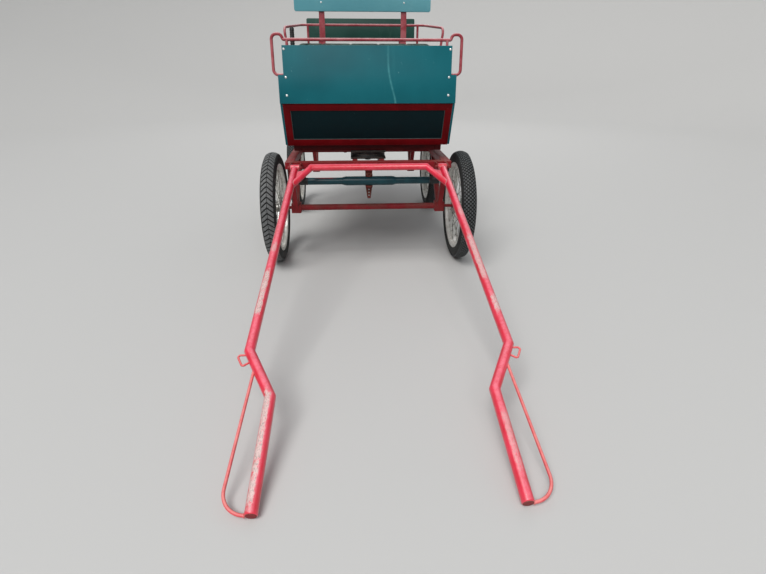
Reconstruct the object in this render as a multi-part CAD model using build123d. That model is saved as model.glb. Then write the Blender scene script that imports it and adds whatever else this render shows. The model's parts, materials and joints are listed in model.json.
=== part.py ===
from build123d import *
import math
import os

# Single-horse carriage with four wire wheels and a pair of shafts, in millimetres.
# The front is towards -Y and +Z is up. Places are measured from the point on the ground
# under the front axle, and every piece is moved at the end so that the origin lies on the
# ground under the centre of the whole carriage.

# Wheels and axles
TRACK = 1185
WHEELBASE = 1270
TYRE_DIAMETER = 690
TYRE_WIDTH = 90
RIM_DIAMETER = 551
RIM_WIDTH = 74
RIM_WALL = 4
RIM_FLANGE = 17
RIM_WELL_DEPTH = 10
RIM_WELL_WIDTH = 28
HUB_WIDTH = 76
HUB_BARREL_DIAMETER = 48
HUB_END_DIAMETER = 40
HUB_FLANGE_DIAMETER = 112
HUB_FLANGE_WIDTH = 7
HUB_FLANGE_SPACING = 60
SPOKE_COUNT = 36
SPOKE_DIAMETER = 3.2
SPOKE_LACE_ANGLE = 60
SPOKE_RIM_SPREAD = 4
STUB_DIAMETER = 20
STUB_NUT_DIAMETER = 32
STUB_NUT_LENGTH = 10
AXLE_TUBE_DIAMETER = 38
AXLE_BLOCK = 60

# Clearances
RUNNING_CLEARANCE = 0.06
SEAT_GAP = 0.3
SIDE_PLAY = 0.5

# Forecarriage, the frame that steers
FORE_WIDTH = 975
FORE_FRONT = -200
FORE_REAR = 430
FORE_TOP = 668
FORE_BAR_WIDTH = 50
FORE_BAR_HEIGHT = 40
FORE_CENTRE_SPACING = 160
FORE_CENTRE_WIDTH = 30
FORE_STRUT_FRONT = -150
FORE_STRUT_REAR = 330
STRUT_SIZE = 30

# Shaft hinge
HINGE_SPACING = 842
HINGE_REACH = 72
HINGE_DROP = 16
HINGE_PIN_DIAMETER = 16
HINGE_EYE_DIAMETER = 34
HINGE_FORK_GAP = 50
LUG_THICKNESS = 8

# Shafts, with the places of the bends and tips in the parked pose
SHAFT_DIAMETER = 40
ELBOW_SPACING = 987
ELBOW_Y = -1481
ELBOW_Z = 212
INNER_BEND_SPACING = 790
INNER_BEND_Y = -1667
INNER_BEND_Z = 143
TIP_SPACING = 808
TIP_Y = -2045
CROSS_TUBE_DIAMETER = 38
CROSS_TUBE_SPAN = 660
BRACE_DIAMETER = 34
BRACE_REACH = 190
GUSSET_THICKNESS = 8
GUARD_DIAMETER = 11
GUARD_OFFSET = 73
GUARD_BEND = 28
GUARD_LOW_REACH = 95
GUARD_TURN_REACH = 30
GUARD_END_REACH = 10
GUARD_BOW = 6
HOOK_DIAMETER = 7
HOOK_REACH = 31
HOOK_ROOT = 24
HOOK_LENGTH = 44
HOOK_MOUTH = 8
HOOK_BEND = 7

# Swingletree and its hanger
TREE_LENGTH = 826
TREE_DROP = 105
TREE_DIAMETER = 40
TREE_CENTRE_DIAMETER = 52
TREE_CENTRE_LENGTH = 270
TREE_CAP_LENGTH = 55
TREE_PIN_DIAMETER = 12
HANGER_WIDTH = 42
HANGER_THICKNESS = 8
HANGER_SETBACK = 18
HANGER_TIP_DROP = 116
HANGER_SHOULDER_DROP = 38
HANGER_HOLE_DIAMETER = 9
TREE_STANDOFF = 40

# Turntable
TURNTABLE_HEIGHT = 47
TURNTABLE_DIAMETER = 210
TURNTABLE_BORE = 150
TURNTABLE_PLATE = 8
KINGPIN_DIAMETER = 24
KINGPIN_NUT_DIAMETER = 36
KINGPIN_NUT_LENGTH = 20

# Body frame and floor
CHASSIS_TUBE = 40
OUTRIGGER_REACH = 30
CHASSIS_FRONT = -88
BODY_REAR = 1690
BODY_WIDTH = 964
PANEL = 12
FLOOR_THICKNESS = 15
REAR_STRUT_SPREAD = 600

# Nose of the body: toe board below, dash above
TOE_OUT = 38
TOE_LIP = 4
TOE_RISE = 234
TOE_LEAN = 96
TOE_ANGLE_WIDTH = 38
TOE_ANGLE_DEPTH = 30
TOE_ANGLE_WALL = 5
TOE_BOARD = 9
DASH_OUT = 10
DASH_GAP = 4
DASH_RISE = 285
DASH_LEAN = 31
DASH_WIDTH = 906
DASH_STEP_RISE = 143
SIDE_HEIGHT = 350
SIDE_TOP_END = -40
SIDE_SILL_HEIGHT = 60

# Dash rail with its two handles
RAIL_DIAMETER = 16
RAIL_RISE = 27
RAIL_WIDTH = 899
HANDLE_OUT = 56
HANDLE_RISE = 26
HANDLE_BEND = 22
HANDLE_FOOT = 50
RAIL_POST_FOOT = 40

# Driver's seat
SEAT_FRONT = 440
SEAT_DEPTH = 410
SEAT_HEIGHT = 445
CUSHION_HEIGHT = 80
CUSHION_INSET = 12
BACKREST_WIDTH = 963
BACKREST_HEIGHT = 225
BACKREST_LIFT = 302
BACKREST_THICKNESS = 15
BACK_BAR_SPACING = 583
BACK_BAR_WIDTH = 40
BACK_BAR_THICKNESS = 8
BACK_BAR_FOOT = 215
BACK_LEAN_START = 225
BACK_LEAN = 7
SEAT_RAIL_SETBACK = 15
SEAT_RAIL_FRONT_RISE = 180
SEAT_RAIL_FRONT_SPACING = 1030
SEAT_RAIL_BACK_RISE = 220
SEAT_RAIL_BACK_SPACING = 880
SEAT_RAIL_BEND = 45
SEAT_RAIL_FOOT = 205

# Rear seat
REAR_SEAT_INSET = 40
REAR_SEAT_DEPTH = 400
REAR_SEAT_HEIGHT = 330
REAR_CUSHION_HEIGHT = 70
REAR_SILL_HEIGHT = 135
REAR_BACKREST_WIDTH = 938
REAR_BACKREST_HEIGHT = 167
REAR_BACKREST_LIFT = 270
REAR_BACK_BAR_SPACING = 706
REAR_BACK_BAR_FOOT = 240

# Hand brake lever and rear step
LEVER_INSET = 25
LEVER_PIVOT_Y = 200
LEVER_PIVOT_HEIGHT = 80
LEVER_LEAN = 75
LEVER_RISE = 535
LEVER_WIDTH = 24
LEVER_THICKNESS = 8
GRIP_DIAMETER = 28
GRIP_LENGTH = 110
STEP_WIDTH = 360
STEP_DEPTH = 150
STEP_HEIGHT = 430
STEP_PLATE = 6
STEP_BAR = 25

# Values worked out from the sizes above
axle_height = TYRE_DIAMETER / 2
fore_bottom = FORE_TOP - FORE_BAR_HEIGHT
hinge_y = FORE_FRONT - HINGE_REACH
hinge_z = FORE_TOP - HINGE_DROP
tree_y = FORE_FRONT + HANGER_SETBACK - TREE_STANDOFF
tree_z = FORE_TOP - TREE_DROP
hanger_tip = tree_z - HANGER_TIP_DROP
stub_end = TRACK / 2 + HUB_WIDTH / 2 + SIDE_PLAY
chassis_bottom = FORE_TOP + TURNTABLE_HEIGHT
chassis_top = chassis_bottom + CHASSIS_TUBE
floor_top = chassis_top + FLOOR_THICKNESS
inner_half = BODY_WIDTH / 2 - PANEL
chassis_side_spacing = 2 * (inner_half - OUTRIGGER_REACH) - CHASSIS_TUBE
toe_bottom_y = CHASSIS_FRONT - TOE_OUT
toe_bottom_z = chassis_top - TOE_LIP
toe_top_y = toe_bottom_y - TOE_LEAN
toe_top_z = toe_bottom_z + TOE_RISE
dash_bottom_y = toe_top_y - DASH_OUT
dash_bottom_z = toe_top_z + DASH_GAP
dash_top_y = dash_bottom_y + DASH_LEAN
dash_top_z = dash_bottom_z + DASH_RISE
dash_step_z = dash_bottom_z + DASH_STEP_RISE
side_top_z = floor_top + SIDE_HEIGHT
side_sill_z = floor_top + SIDE_SILL_HEIGHT
seat_rear = SEAT_FRONT + SEAT_DEPTH
seat_board_z = floor_top + SEAT_HEIGHT
rear_seat_rear = BODY_REAR - REAR_SEAT_INSET
rear_seat_front = rear_seat_rear - REAR_SEAT_DEPTH
rear_seat_board_z = floor_top + REAR_SEAT_HEIGHT
rear_sill_z = floor_top + REAR_SILL_HEIGHT


def block(x, y, z):
    """Box between two values along each axis."""
    size = (x[1] - x[0], y[1] - y[0], z[1] - z[0])
    centre = ((x[0] + x[1]) / 2, (y[0] + y[1]) / 2, (z[0] + z[1]) / 2)
    return Pos(*centre) * Box(*size)


def rod(start, end, diameter):
    """Round bar between two points."""
    line = Vector(*end) - Vector(*start)
    return extrude(Plane(start, z_dir=line) * Circle(diameter / 2), line.length)


def bar(start, end, across, depth):
    """Flat or square bar between two points of one side plane, with its first width along X."""
    line = Vector(*end) - Vector(*start)
    return extrude(Plane(start, x_dir=(1, 0, 0), z_dir=line) * Rectangle(across, depth), line.length)


def bent_rod(points, diameter, radius):
    """Round bar along a run of points with rounded bends, one radius or a list of them."""
    path = FilletPolyline(*points, radius=radius)
    start = Plane(path @ 0, z_dir=path % 0)
    return sweep(start * Circle(diameter / 2), path)


def wire(start, end, diameter):
    """Thin straight wire between two points, six-sided so that many of them stay light."""
    line = Vector(*end) - Vector(*start)
    return extrude(Plane(start, z_dir=line) * RegularPolygon(diameter / 2, 6), line.length)


def mitred_rod(points, diameter):
    """Round bar along a run of points, cut and welded at its corners."""
    path = Polyline(*points)
    start = Plane(path @ 0, z_dir=path % 0)
    return sweep(start * Circle(diameter / 2), path, transition=Transition.RIGHT)


def side_plate(outline, inner_x, outer_x):
    """Plate whose outline is drawn in the side view, between two places along X."""
    lines = Polyline(*outline, close=True) if isinstance(outline, list) else outline
    face = Plane(origin=(inner_x, 0, 0), x_dir=(0, 1, 0), z_dir=(1, 0, 0)) * make_face(lines)
    return extrude(face, outer_x - inner_x)


def turned(profile):
    """Solid turned about the X axis from points of distance along the axis and radius."""
    face = make_face(Polyline(*[(x, radius) for x, radius in profile], close=True))
    return revolve(face, Axis.X)


# Wheel pieces, centred on the origin with the axle along X
def make_tyre():
    bead = RIM_WIDTH / 2 - RIM_WALL - SEAT_GAP
    flange = RIM_DIAMETER / 2
    seat = flange - RIM_FLANGE + SEAT_GAP
    crown = TYRE_DIAMETER / 2
    half = TYRE_WIDTH / 2
    bulge = flange + 0.48 * (crown - flange)
    shoulder = crown - 0.17 * (crown - flange)
    right = [
        (bead, seat), (bead, flange + RIM_WALL), (half, bulge), (0.8 * half, shoulder), (0.3 * half, crown),
    ]
    left = [(-x, radius) for x, radius in reversed(right)]
    return turned(right + left)


def rim_bore_radius():
    return RIM_DIAMETER / 2 - RIM_FLANGE - RIM_WELL_DEPTH - RIM_WALL


def make_rim():
    half = RIM_WIDTH / 2
    inside = half - RIM_WALL
    top = RIM_DIAMETER / 2
    seat = top - RIM_FLANGE
    well = seat - RIM_WELL_DEPTH
    well_half = RIM_WELL_WIDTH / 2
    well_slope = RIM_WELL_DEPTH / 3
    right = [
        (well_half - well_slope, well), (well_half, seat), (inside, seat), (inside, top), (half, top),
        (half, seat - RIM_WALL), (well_half + RIM_WALL / 2, seat - RIM_WALL),
        (well_half + RIM_WALL / 2 - well_slope, well - RIM_WALL),
    ]
    left = [(-x, radius) for x, radius in reversed(right)]
    return turned(right + left)


def make_hub():
    half = HUB_WIDTH / 2
    bore = STUB_DIAMETER / 2 + RUNNING_CLEARANCE
    barrel = HUB_BARREL_DIAMETER / 2
    end = HUB_END_DIAMETER / 2
    flange = HUB_FLANGE_DIAMETER / 2
    flange_in = (HUB_FLANGE_SPACING - HUB_FLANGE_WIDTH) / 2
    flange_out = flange_in + HUB_FLANGE_WIDTH
    right = [
        (half, bore), (half, end), (flange_out, end), (flange_out, flange), (flange_in, flange),
        (flange_in, barrel),
    ]
    left = [(-x, radius) for x, radius in reversed(right)]
    spokes = []
    for number in range(SPOKE_COUNT):
        side = 1 if number % 2 else -1
        lean = 1 if (number // 2) % 2 else -1
        rim_angle = math.radians(number * 360 / SPOKE_COUNT)
        hub_angle = rim_angle + lean * math.radians(SPOKE_LACE_ANGLE)
        hub_radius = flange - HUB_FLANGE_WIDTH
        hub_x = side * (HUB_FLANGE_SPACING / 2 + lean * HUB_FLANGE_WIDTH / 4)
        rim_radius = rim_bore_radius() - 2 * SEAT_GAP
        rim_x = side * SPOKE_RIM_SPREAD * (2 + lean)
        start = (hub_x, hub_radius * math.cos(hub_angle), hub_radius * math.sin(hub_angle))
        end_point = (rim_x, rim_radius * math.cos(rim_angle), rim_radius * math.sin(rim_angle))
        spokes.append(wire(start, end_point, SPOKE_DIAMETER))
    return turned(right + left) + spokes


# Axle with its wheel stubs and the struts that carry the frame above it
def make_axle(axle_y, strut_x, feet, frame_bottom):
    block_half = AXLE_BLOCK / 2
    axle = rod((-strut_x, axle_y, axle_height), (strut_x, axle_y, axle_height), AXLE_TUBE_DIAMETER)
    for side in (-1, 1):
        inner = side * (strut_x - block_half)
        outer = side * (strut_x + block_half)
        axle += block(sorted((inner, outer)), (axle_y - block_half, axle_y + block_half),
                      (axle_height - block_half, axle_height + block_half))
        axle += rod((outer, axle_y, axle_height), (side * stub_end, axle_y, axle_height), STUB_DIAMETER)
        axle += rod((side * stub_end, axle_y, axle_height),
                    (side * (stub_end + STUB_NUT_LENGTH), axle_y, axle_height), STUB_NUT_DIAMETER)
        for foot_y in feet:
            foot = (side * strut_x, foot_y, frame_bottom)
            low = (side * strut_x, axle_y + math.copysign(AXLE_BLOCK / 4, foot_y - axle_y), axle_height)
            line = Vector(*foot) - Vector(*low)
            past = Vector(*foot) + line.normalized() * STRUT_SIZE
            axle += bar(low, tuple(past), STRUT_SIZE, STRUT_SIZE)
    span = (axle_y - WHEELBASE, axle_y + WHEELBASE)
    above = block((-TRACK, TRACK), span, (frame_bottom, frame_bottom + 4 * STRUT_SIZE))
    return axle - above


# Forecarriage
def lug(x, y_back, heights, y_pin, z_pin, thickness, tip_radius):
    """Upright plate from the whole height of a bar's front to a round nose round a cross pin."""
    low, high = heights
    outline = [(y_back, low), (y_back, high), (y_pin, z_pin + tip_radius), (y_pin, z_pin - tip_radius)]
    nose = rod((x, y_pin, z_pin), (x + thickness, y_pin, z_pin), 2 * tip_radius)
    return side_plate(outline, x, x + thickness) + nose


def make_fore_frame():
    half = FORE_WIDTH / 2
    height = (fore_bottom, FORE_TOP)
    frame = block((-half, half), (FORE_FRONT, FORE_FRONT + FORE_BAR_WIDTH), height)
    frame += block((-half, half), (FORE_REAR - FORE_BAR_WIDTH, FORE_REAR), height)
    for side in (-1, 1):
        edge = sorted((side * half, side * (half - FORE_BAR_WIDTH)))
        frame += block(edge, (FORE_FRONT, FORE_REAR), height)
        centre = side * FORE_CENTRE_SPACING / 2
        frame += block((centre - FORE_CENTRE_WIDTH / 2, centre + FORE_CENTRE_WIDTH / 2),
                       (FORE_FRONT, FORE_REAR), height)
    eye_radius = HINGE_EYE_DIAMETER / 2
    for side in (-1, 1):
        hinge_x = side * HINGE_SPACING / 2
        outer_faces = HINGE_FORK_GAP / 2 + LUG_THICKNESS
        for lug_x in (hinge_x - outer_faces, hinge_x + HINGE_FORK_GAP / 2):
            frame += lug(lug_x, FORE_FRONT, height, hinge_y, hinge_z, LUG_THICKNESS, eye_radius)
        head = outer_faces + LUG_THICKNESS
        frame += rod((hinge_x - head, hinge_y, hinge_z), (hinge_x + head, hinge_y, hinge_z),
                     HINGE_PIN_DIAMETER)
    return frame


def make_turntable_lower():
    half = TURNTABLE_DIAMETER / 2
    low = FORE_TOP
    ring_low = low + TURNTABLE_PLATE
    ring_high = (ring_low + chassis_bottom - TURNTABLE_PLATE - SEAT_GAP) / 2
    plate = block((-half, half), (-half, half), (low, ring_low))
    ring = rod((0, 0, ring_low), (0, 0, ring_high), TURNTABLE_DIAMETER)
    ring -= rod((0, 0, ring_low), (0, 0, ring_high), TURNTABLE_BORE)
    hole = rod((0, 0, low), (0, 0, ring_low), KINGPIN_DIAMETER + 2 * RUNNING_CLEARANCE)
    return plate + ring - hole, ring_high


def make_turntable_upper(ring_high):
    half = TURNTABLE_DIAMETER / 2
    plate_low = chassis_bottom - TURNTABLE_PLATE
    plate = block((-half, half), (-half, half), (plate_low, chassis_bottom))
    ring = rod((0, 0, ring_high + SEAT_GAP), (0, 0, plate_low), TURNTABLE_DIAMETER)
    ring -= rod((0, 0, ring_high + SEAT_GAP), (0, 0, plate_low), TURNTABLE_BORE)
    nut_top = FORE_TOP - SIDE_PLAY
    pin = rod((0, 0, nut_top - KINGPIN_NUT_LENGTH), (0, 0, plate_low), KINGPIN_DIAMETER)
    nut = rod((0, 0, nut_top - KINGPIN_NUT_LENGTH), (0, 0, nut_top), KINGPIN_NUT_DIAMETER)
    return plate + ring + pin + nut


def make_hanger():
    front = FORE_FRONT + HANGER_SETBACK
    half = HANGER_WIDTH / 2
    shoulder_z = tree_z - HANGER_SHOULDER_DROP
    outline = Polyline(
        (-half, fore_bottom), (half, fore_bottom), (half, shoulder_z), (HANGER_HOLE_DIAMETER, hanger_tip),
        (-HANGER_HOLE_DIAMETER, hanger_tip), (-half, shoulder_z), close=True)
    strap = extrude(Plane.XZ.offset(-front) * make_face(outline), -HANGER_THICKNESS)
    for step in (1, 2, 3):
        hole_z = hanger_tip + step * 2 * HANGER_HOLE_DIAMETER
        back = front + HANGER_THICKNESS + 1
        strap -= rod((0, front - 1, hole_z), (0, back, hole_z), HANGER_HOLE_DIAMETER)
    fork_gap = TREE_CENTRE_DIAMETER / 2 + SIDE_PLAY
    for side in (-1, 1):
        low, high = sorted((tree_z + side * fork_gap, tree_z + side * (fork_gap + HANGER_THICKNESS)))
        strap += block((-half, half), (tree_y, front), (low, high))
        strap += rod((0, tree_y, low), (0, tree_y, high), HANGER_WIDTH)
    reach = fork_gap + 2 * HANGER_THICKNESS
    return strap + rod((0, tree_y, tree_z - reach), (0, tree_y, tree_z + reach), TREE_PIN_DIAMETER)


def make_swingletree():
    half = TREE_LENGTH / 2 - TREE_CAP_LENGTH
    thick = TREE_CENTRE_DIAMETER / 2
    thin = TREE_DIAMETER / 2
    centre = TREE_CENTRE_LENGTH / 2
    taper = 4 * (thick - thin)
    right = [(half, 0), (half, thin), (centre + taper, thin), (centre, thick)]
    left = [(-x, radius) for x, radius in reversed(right)]
    bore = rod((0, 0, -thick), (0, 0, thick), TREE_PIN_DIAMETER + 2 * RUNNING_CLEARANCE)
    return Pos(0, tree_y, tree_z) * (turned(right + left) - bore)


def make_tree_caps():
    half = TREE_LENGTH / 2
    caps = []
    for side in (-1, 1):
        inner = side * (half - TREE_CAP_LENGTH)
        cap = rod((inner, tree_y, tree_z), (side * half, tree_y, tree_z), TREE_DIAMETER + 2)
        caps.append(cap)
    return Compound(children=caps)


# Shafts, in the parked pose with their tips on the ground
def shaft_points(side):
    """Hinge, outer bend, inner bend and tip of one shaft."""
    bend = Vector(side * INNER_BEND_SPACING / 2, INNER_BEND_Y, INNER_BEND_Z)
    level = math.hypot(TIP_Y - INNER_BEND_Y, (TIP_SPACING - INNER_BEND_SPACING) / 2)
    slope = math.atan2(INNER_BEND_Z - SHAFT_DIAMETER / 2, level)
    tip_z = SHAFT_DIAMETER / 2 * math.cos(slope)
    slope = math.atan2(INNER_BEND_Z - tip_z, level)
    tip = Vector(side * TIP_SPACING / 2, TIP_Y, SHAFT_DIAMETER / 2 * math.cos(slope) + SEAT_GAP)
    hinge = Vector(side * HINGE_SPACING / 2, hinge_y, hinge_z)
    elbow = Vector(side * ELBOW_SPACING / 2, ELBOW_Y, ELBOW_Z)
    return hinge, elbow, bend, tip


def make_shaft_tube(side, extra=0):
    hinge, elbow, bend, tip = shaft_points(side)
    root = hinge + (elbow - hinge).normalized() * HINGE_PIN_DIAMETER
    return mitred_rod([root, elbow, bend, tip], SHAFT_DIAMETER + extra)


def make_shaft(side):
    hinge = shaft_points(side)[0]
    eye_half = HINGE_FORK_GAP / 2 - SIDE_PLAY
    eye_ends = [(hinge.X + sign * eye_half, hinge_y, hinge_z) for sign in (-1, 1)]
    shaft = make_shaft_tube(side) + rod(*eye_ends, HINGE_EYE_DIAMETER)
    return shaft - rod(*eye_ends, HINGE_PIN_DIAMETER + 2 * RUNNING_CLEARANCE)


def brace_joint(side):
    """Point on a shaft's centre line where the brace from the cross tube meets it."""
    hinge, elbow, _, _ = shaft_points(side)
    return hinge + (elbow - hinge).normalized() * BRACE_REACH


def make_cross_tube():
    span = CROSS_TUBE_SPAN / 2
    frame = rod((-span, hinge_y, hinge_z), (span, hinge_y, hinge_z), CROSS_TUBE_DIAMETER)
    for side in (-1, 1):
        corner = (side * span, hinge_y, hinge_z)
        joint = brace_joint(side)
        frame += Pos(*corner) * Sphere(CROSS_TUBE_DIAMETER / 2)
        frame += rod(corner, tuple(joint), BRACE_DIAMETER)
        hinge, elbow, _, _ = shaft_points(side)
        along = (elbow - hinge).normalized()
        near = hinge + along * (HINGE_EYE_DIAMETER + SHAFT_DIAMETER / 2)
        toe = Vector(*corner) + along * CROSS_TUBE_DIAMETER / 2
        sheet = make_face(Polyline(toe, near, joint, close=True))
        frame += extrude(sheet, GUSSET_THICKNESS / 2, both=True)
    for side in (-1, 1):
        frame -= make_shaft_tube(side, 2 * SEAT_GAP)
    return frame


def make_guards():
    guards = []
    for side in (-1, 1):
        _, elbow, bend, tip = shaft_points(side)
        start = elbow + (bend - elbow) * 0.3
        away = (bend - tip).normalized()
        out = Vector(side * GUARD_OFFSET, 0, 0)
        clearance = Vector(0, 0, GUARD_DIAMETER / 2 - SHAFT_DIAMETER / 2 + SEAT_GAP)
        low = tip + away * GUARD_LOW_REACH + out
        near_tip = tip + away * GUARD_TURN_REACH + out * 0.9
        end = tip + away * GUARD_END_REACH
        middle = elbow + (low - elbow) * 0.4 + Vector(side * GUARD_BOW, 0, 0)
        path = [start, middle, low + clearance / 2, near_tip + clearance / 2, end + clearance / 2]
        guard = bent_rod(path, GUARD_DIAMETER, GUARD_BEND)
        guards.append(guard - make_shaft_tube(side, 2 * SEAT_GAP))
    return Compound(children=[piece for guard in guards for piece in guard.solids()])


def make_hooks():
    """Small trace hooks below the outer bends, bent back until their ends nearly meet the shaft."""
    hooks = []
    for side in (-1, 1):
        _, elbow, bend, _ = shaft_points(side)
        along = (bend - elbow).normalized()
        out = Vector(side, 0, 0)
        surface = SHAFT_DIAMETER / 2
        root = elbow + along * HOOK_ROOT
        reach = out * (surface + HOOK_REACH)
        foot = root + along * HOOK_LENGTH
        lip = foot + out * (surface + HOOK_MOUTH) - along * HOOK_BEND
        hook = bent_rod([root, root + reach, foot + reach, lip], HOOK_DIAMETER, HOOK_BEND)
        hooks.append(hook - make_shaft_tube(side, 2 * SEAT_GAP))
    return Compound(children=[piece for hook in hooks for piece in hook.solids()])


# Body frame
def chassis_cross_places():
    """Middle of each cross member, from the front to the rear."""
    half_tube = CHASSIS_TUBE / 2
    return [CHASSIS_FRONT + half_tube, TURNTABLE_DIAMETER, SEAT_FRONT, seat_rear, WHEELBASE,
            BODY_REAR - PANEL - half_tube]


def make_chassis_rails():
    """Two long side rails, and two short rails over the turntable between the first cross members."""
    height = (chassis_bottom, chassis_top)
    half_tube = CHASSIS_TUBE / 2
    first, second = chassis_cross_places()[:2]
    long = (CHASSIS_FRONT, BODY_REAR - PANEL)
    short = (first + half_tube, second - half_tube)
    rails = []
    for side in (-1, 1):
        for spacing, reach in ((chassis_side_spacing, long), (FORE_CENTRE_SPACING, short)):
            rail_x = side * spacing / 2
            rails.append(block((rail_x - half_tube, rail_x + half_tube), reach, height))
    return Compound(children=rails)


def make_chassis_cross():
    """Cross members between the side rails; all but the first have outriggers to the side panels."""
    height = (chassis_bottom, chassis_top)
    half_tube = CHASSIS_TUBE / 2
    inside = chassis_side_spacing / 2 - half_tube
    members = []
    for number, y in enumerate(chassis_cross_places()):
        along = (y - half_tube, y + half_tube)
        members.append(block((-inside, inside), along, height))
        if number > 0:
            for side in (-1, 1):
                ends = sorted((side * (inside + CHASSIS_TUBE), side * inner_half))
                members.append(block(ends, along, height))
    return Compound(children=members)


def make_floor():
    return block((-inner_half, inner_half), (CHASSIS_FRONT, BODY_REAR - PANEL), (chassis_top, floor_top))


def toe_plane():
    """Plane of the toe board's outer face, with its local y going up the slope."""
    up = Vector(0, toe_top_y - toe_bottom_y, toe_top_z - toe_bottom_z)
    out = Vector(1, 0, 0).cross(up)
    middle = Vector(0, (toe_top_y + toe_bottom_y) / 2, (toe_top_z + toe_bottom_z) / 2)
    return Plane(middle, x_dir=(1, 0, 0), z_dir=out), up.length


def make_toe_frame():
    plane, height = toe_plane()
    width = 2 * inner_half
    window = Rectangle(width - 2 * TOE_ANGLE_WIDTH, height - 2 * TOE_ANGLE_WIDTH)
    inside = Rectangle(width - 2 * TOE_ANGLE_WALL, height - 2 * TOE_ANGLE_WALL)
    outside = Rectangle(width, height)
    face = extrude(plane * (outside - window), -TOE_ANGLE_WALL)
    return face + extrude(plane * (outside - inside), -TOE_ANGLE_DEPTH)


def make_toe_board():
    plane, height = toe_plane()
    board = Rectangle(2 * (inner_half - TOE_ANGLE_WALL), height - 2 * TOE_ANGLE_WALL)
    return extrude(plane.offset(-TOE_ANGLE_WALL) * board, -TOE_BOARD)


def dash_plane():
    """Plane of the dash's outer face, with its local y going up the slope from the lower edge."""
    up = Vector(0, dash_top_y - dash_bottom_y, dash_top_z - dash_bottom_z)
    bottom = Vector(0, dash_bottom_y, dash_bottom_z)
    return Plane(bottom, x_dir=(1, 0, 0), z_dir=Vector(1, 0, 0).cross(up)), up


def dash_back_y(z):
    """Y of the dash's rear face at a height."""
    lean = (dash_top_y - dash_bottom_y) / (dash_top_z - dash_bottom_z)
    return dash_bottom_y + lean * (z - dash_bottom_z) + PANEL * math.hypot(1, lean)


def make_dash():
    plane, up = dash_plane()
    step = up.length * (dash_step_z - dash_bottom_z) / (dash_top_z - dash_bottom_z)
    wide = BODY_WIDTH / 2
    narrow = DASH_WIDTH / 2
    outline = Polyline((-wide, 0), (wide, 0), (wide, step), (narrow, step), (narrow, up.length),
                       (-narrow, up.length), (-narrow, step), (-wide, step), close=True)
    return extrude(plane * make_face(outline), -PANEL)


def side_outline():
    """Outline of a side panel from the nose to behind the driver's seat."""
    slope = (toe_top_y - toe_bottom_y) / (toe_top_z - toe_bottom_z)
    low = chassis_top
    low_y = toe_bottom_y + slope * (low - toe_bottom_z)
    chin_y = toe_bottom_y + slope * (dash_bottom_z - PANEL - toe_bottom_z)
    drop = (side_top_z - side_sill_z) / 2
    seat_y = SEAT_FRONT - 2 * PANEL
    sill_front = (SIDE_TOP_END + 2 * drop, side_sill_z)
    sill_rear = (seat_y - drop, side_sill_z)
    waist = (SIDE_TOP_END + drop, side_sill_z + drop)
    outline = Polyline((SIDE_TOP_END, side_top_z), (dash_back_y(side_top_z), side_top_z),
                       (dash_back_y(dash_bottom_z), dash_bottom_z), (chin_y, dash_bottom_z - PANEL),
                       (low_y, low), (seat_rear, low), (seat_rear, seat_board_z), (seat_y, seat_board_z),
                       (seat_y, side_sill_z + drop))
    outline += RadiusArc((seat_y, side_sill_z + drop), sill_rear, drop)
    outline += Line(sill_rear, sill_front)
    outline += RadiusArc(sill_front, waist, drop)
    outline += RadiusArc(waist, (SIDE_TOP_END, side_top_z), -drop)
    return outline


def rear_side_outline():
    """Outline of a rear side panel beside the rear seat."""
    low = chassis_top
    rise = (rear_seat_board_z - rear_sill_z) / 2
    top_y = rear_seat_front
    outline = Polyline((top_y, rear_seat_board_z), (BODY_REAR, rear_seat_board_z), (BODY_REAR, low),
                       (seat_rear, low), (seat_rear, rear_sill_z), (top_y - 2 * rise, rear_sill_z))
    outline += RadiusArc((top_y - 2 * rise, rear_sill_z), (top_y - rise, rear_sill_z + rise), -rise)
    outline += RadiusArc((top_y - rise, rear_sill_z + rise), (top_y, rear_seat_board_z), rise)
    return outline


def panel_at(outline, side):
    edges = sorted((side * inner_half, side * BODY_WIDTH / 2))
    return side_plate(outline, *edges)


def make_dash_rail():
    radius = RAIL_DIAMETER / 2
    rail_y = dash_top_y + PANEL + radius + SEAT_GAP + PANEL / 4
    rail_z = dash_top_z + RAIL_RISE
    foot_z = dash_step_z
    foot_y = dash_back_y(foot_z) + radius + SEAT_GAP
    rail_x = RAIL_WIDTH / 2 - 2 * RAIL_DIAMETER
    handle_x = RAIL_WIDTH / 2 + HANDLE_OUT
    handle_z = rail_z + HANDLE_RISE
    neck_x = RAIL_WIDTH / 2 + radius
    half = [(neck_x - HANDLE_FOOT, foot_y, foot_z), (handle_x, foot_y, foot_z), (handle_x, rail_y, handle_z),
            (neck_x, rail_y, handle_z), (rail_x, rail_y, rail_z)]
    points = [(-x, y, z) for x, y, z in half] + list(reversed(half))
    bends = [HANDLE_BEND, HANDLE_BEND, HANDLE_BEND / 2, HANDLE_BEND / 2]
    rail = bent_rod(points, RAIL_DIAMETER, bends + bends[::-1])
    post_z = dash_step_z - RAIL_POST_FOOT
    post_y = dash_back_y(post_z) + radius + SEAT_GAP
    for side in (-1, 1):
        post_x = side * (rail_x - RAIL_DIAMETER)
        rail += rod((post_x, post_y, post_z), (post_x, rail_y, rail_z), RAIL_DIAMETER)
    return rail


# Seats
def make_seat_box(front, rear, board_z):
    """Front board, rear board and lid of a seat box that stands on the floor between the sides."""
    across = (-inner_half, inner_half)
    shell = block(across, (front, rear), (floor_top, board_z))
    return shell - block(across, (front + PANEL, rear - PANEL), (floor_top, board_z - PANEL))


def make_cushion(front, rear, board_z, height):
    half = inner_half - CUSHION_INSET
    pad = block((-half, half), (front, rear - 2 * CUSHION_INSET), (board_z, board_z + height))
    return fillet(pad.edges().group_by(Axis.Z)[-1], height / 3)


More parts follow.
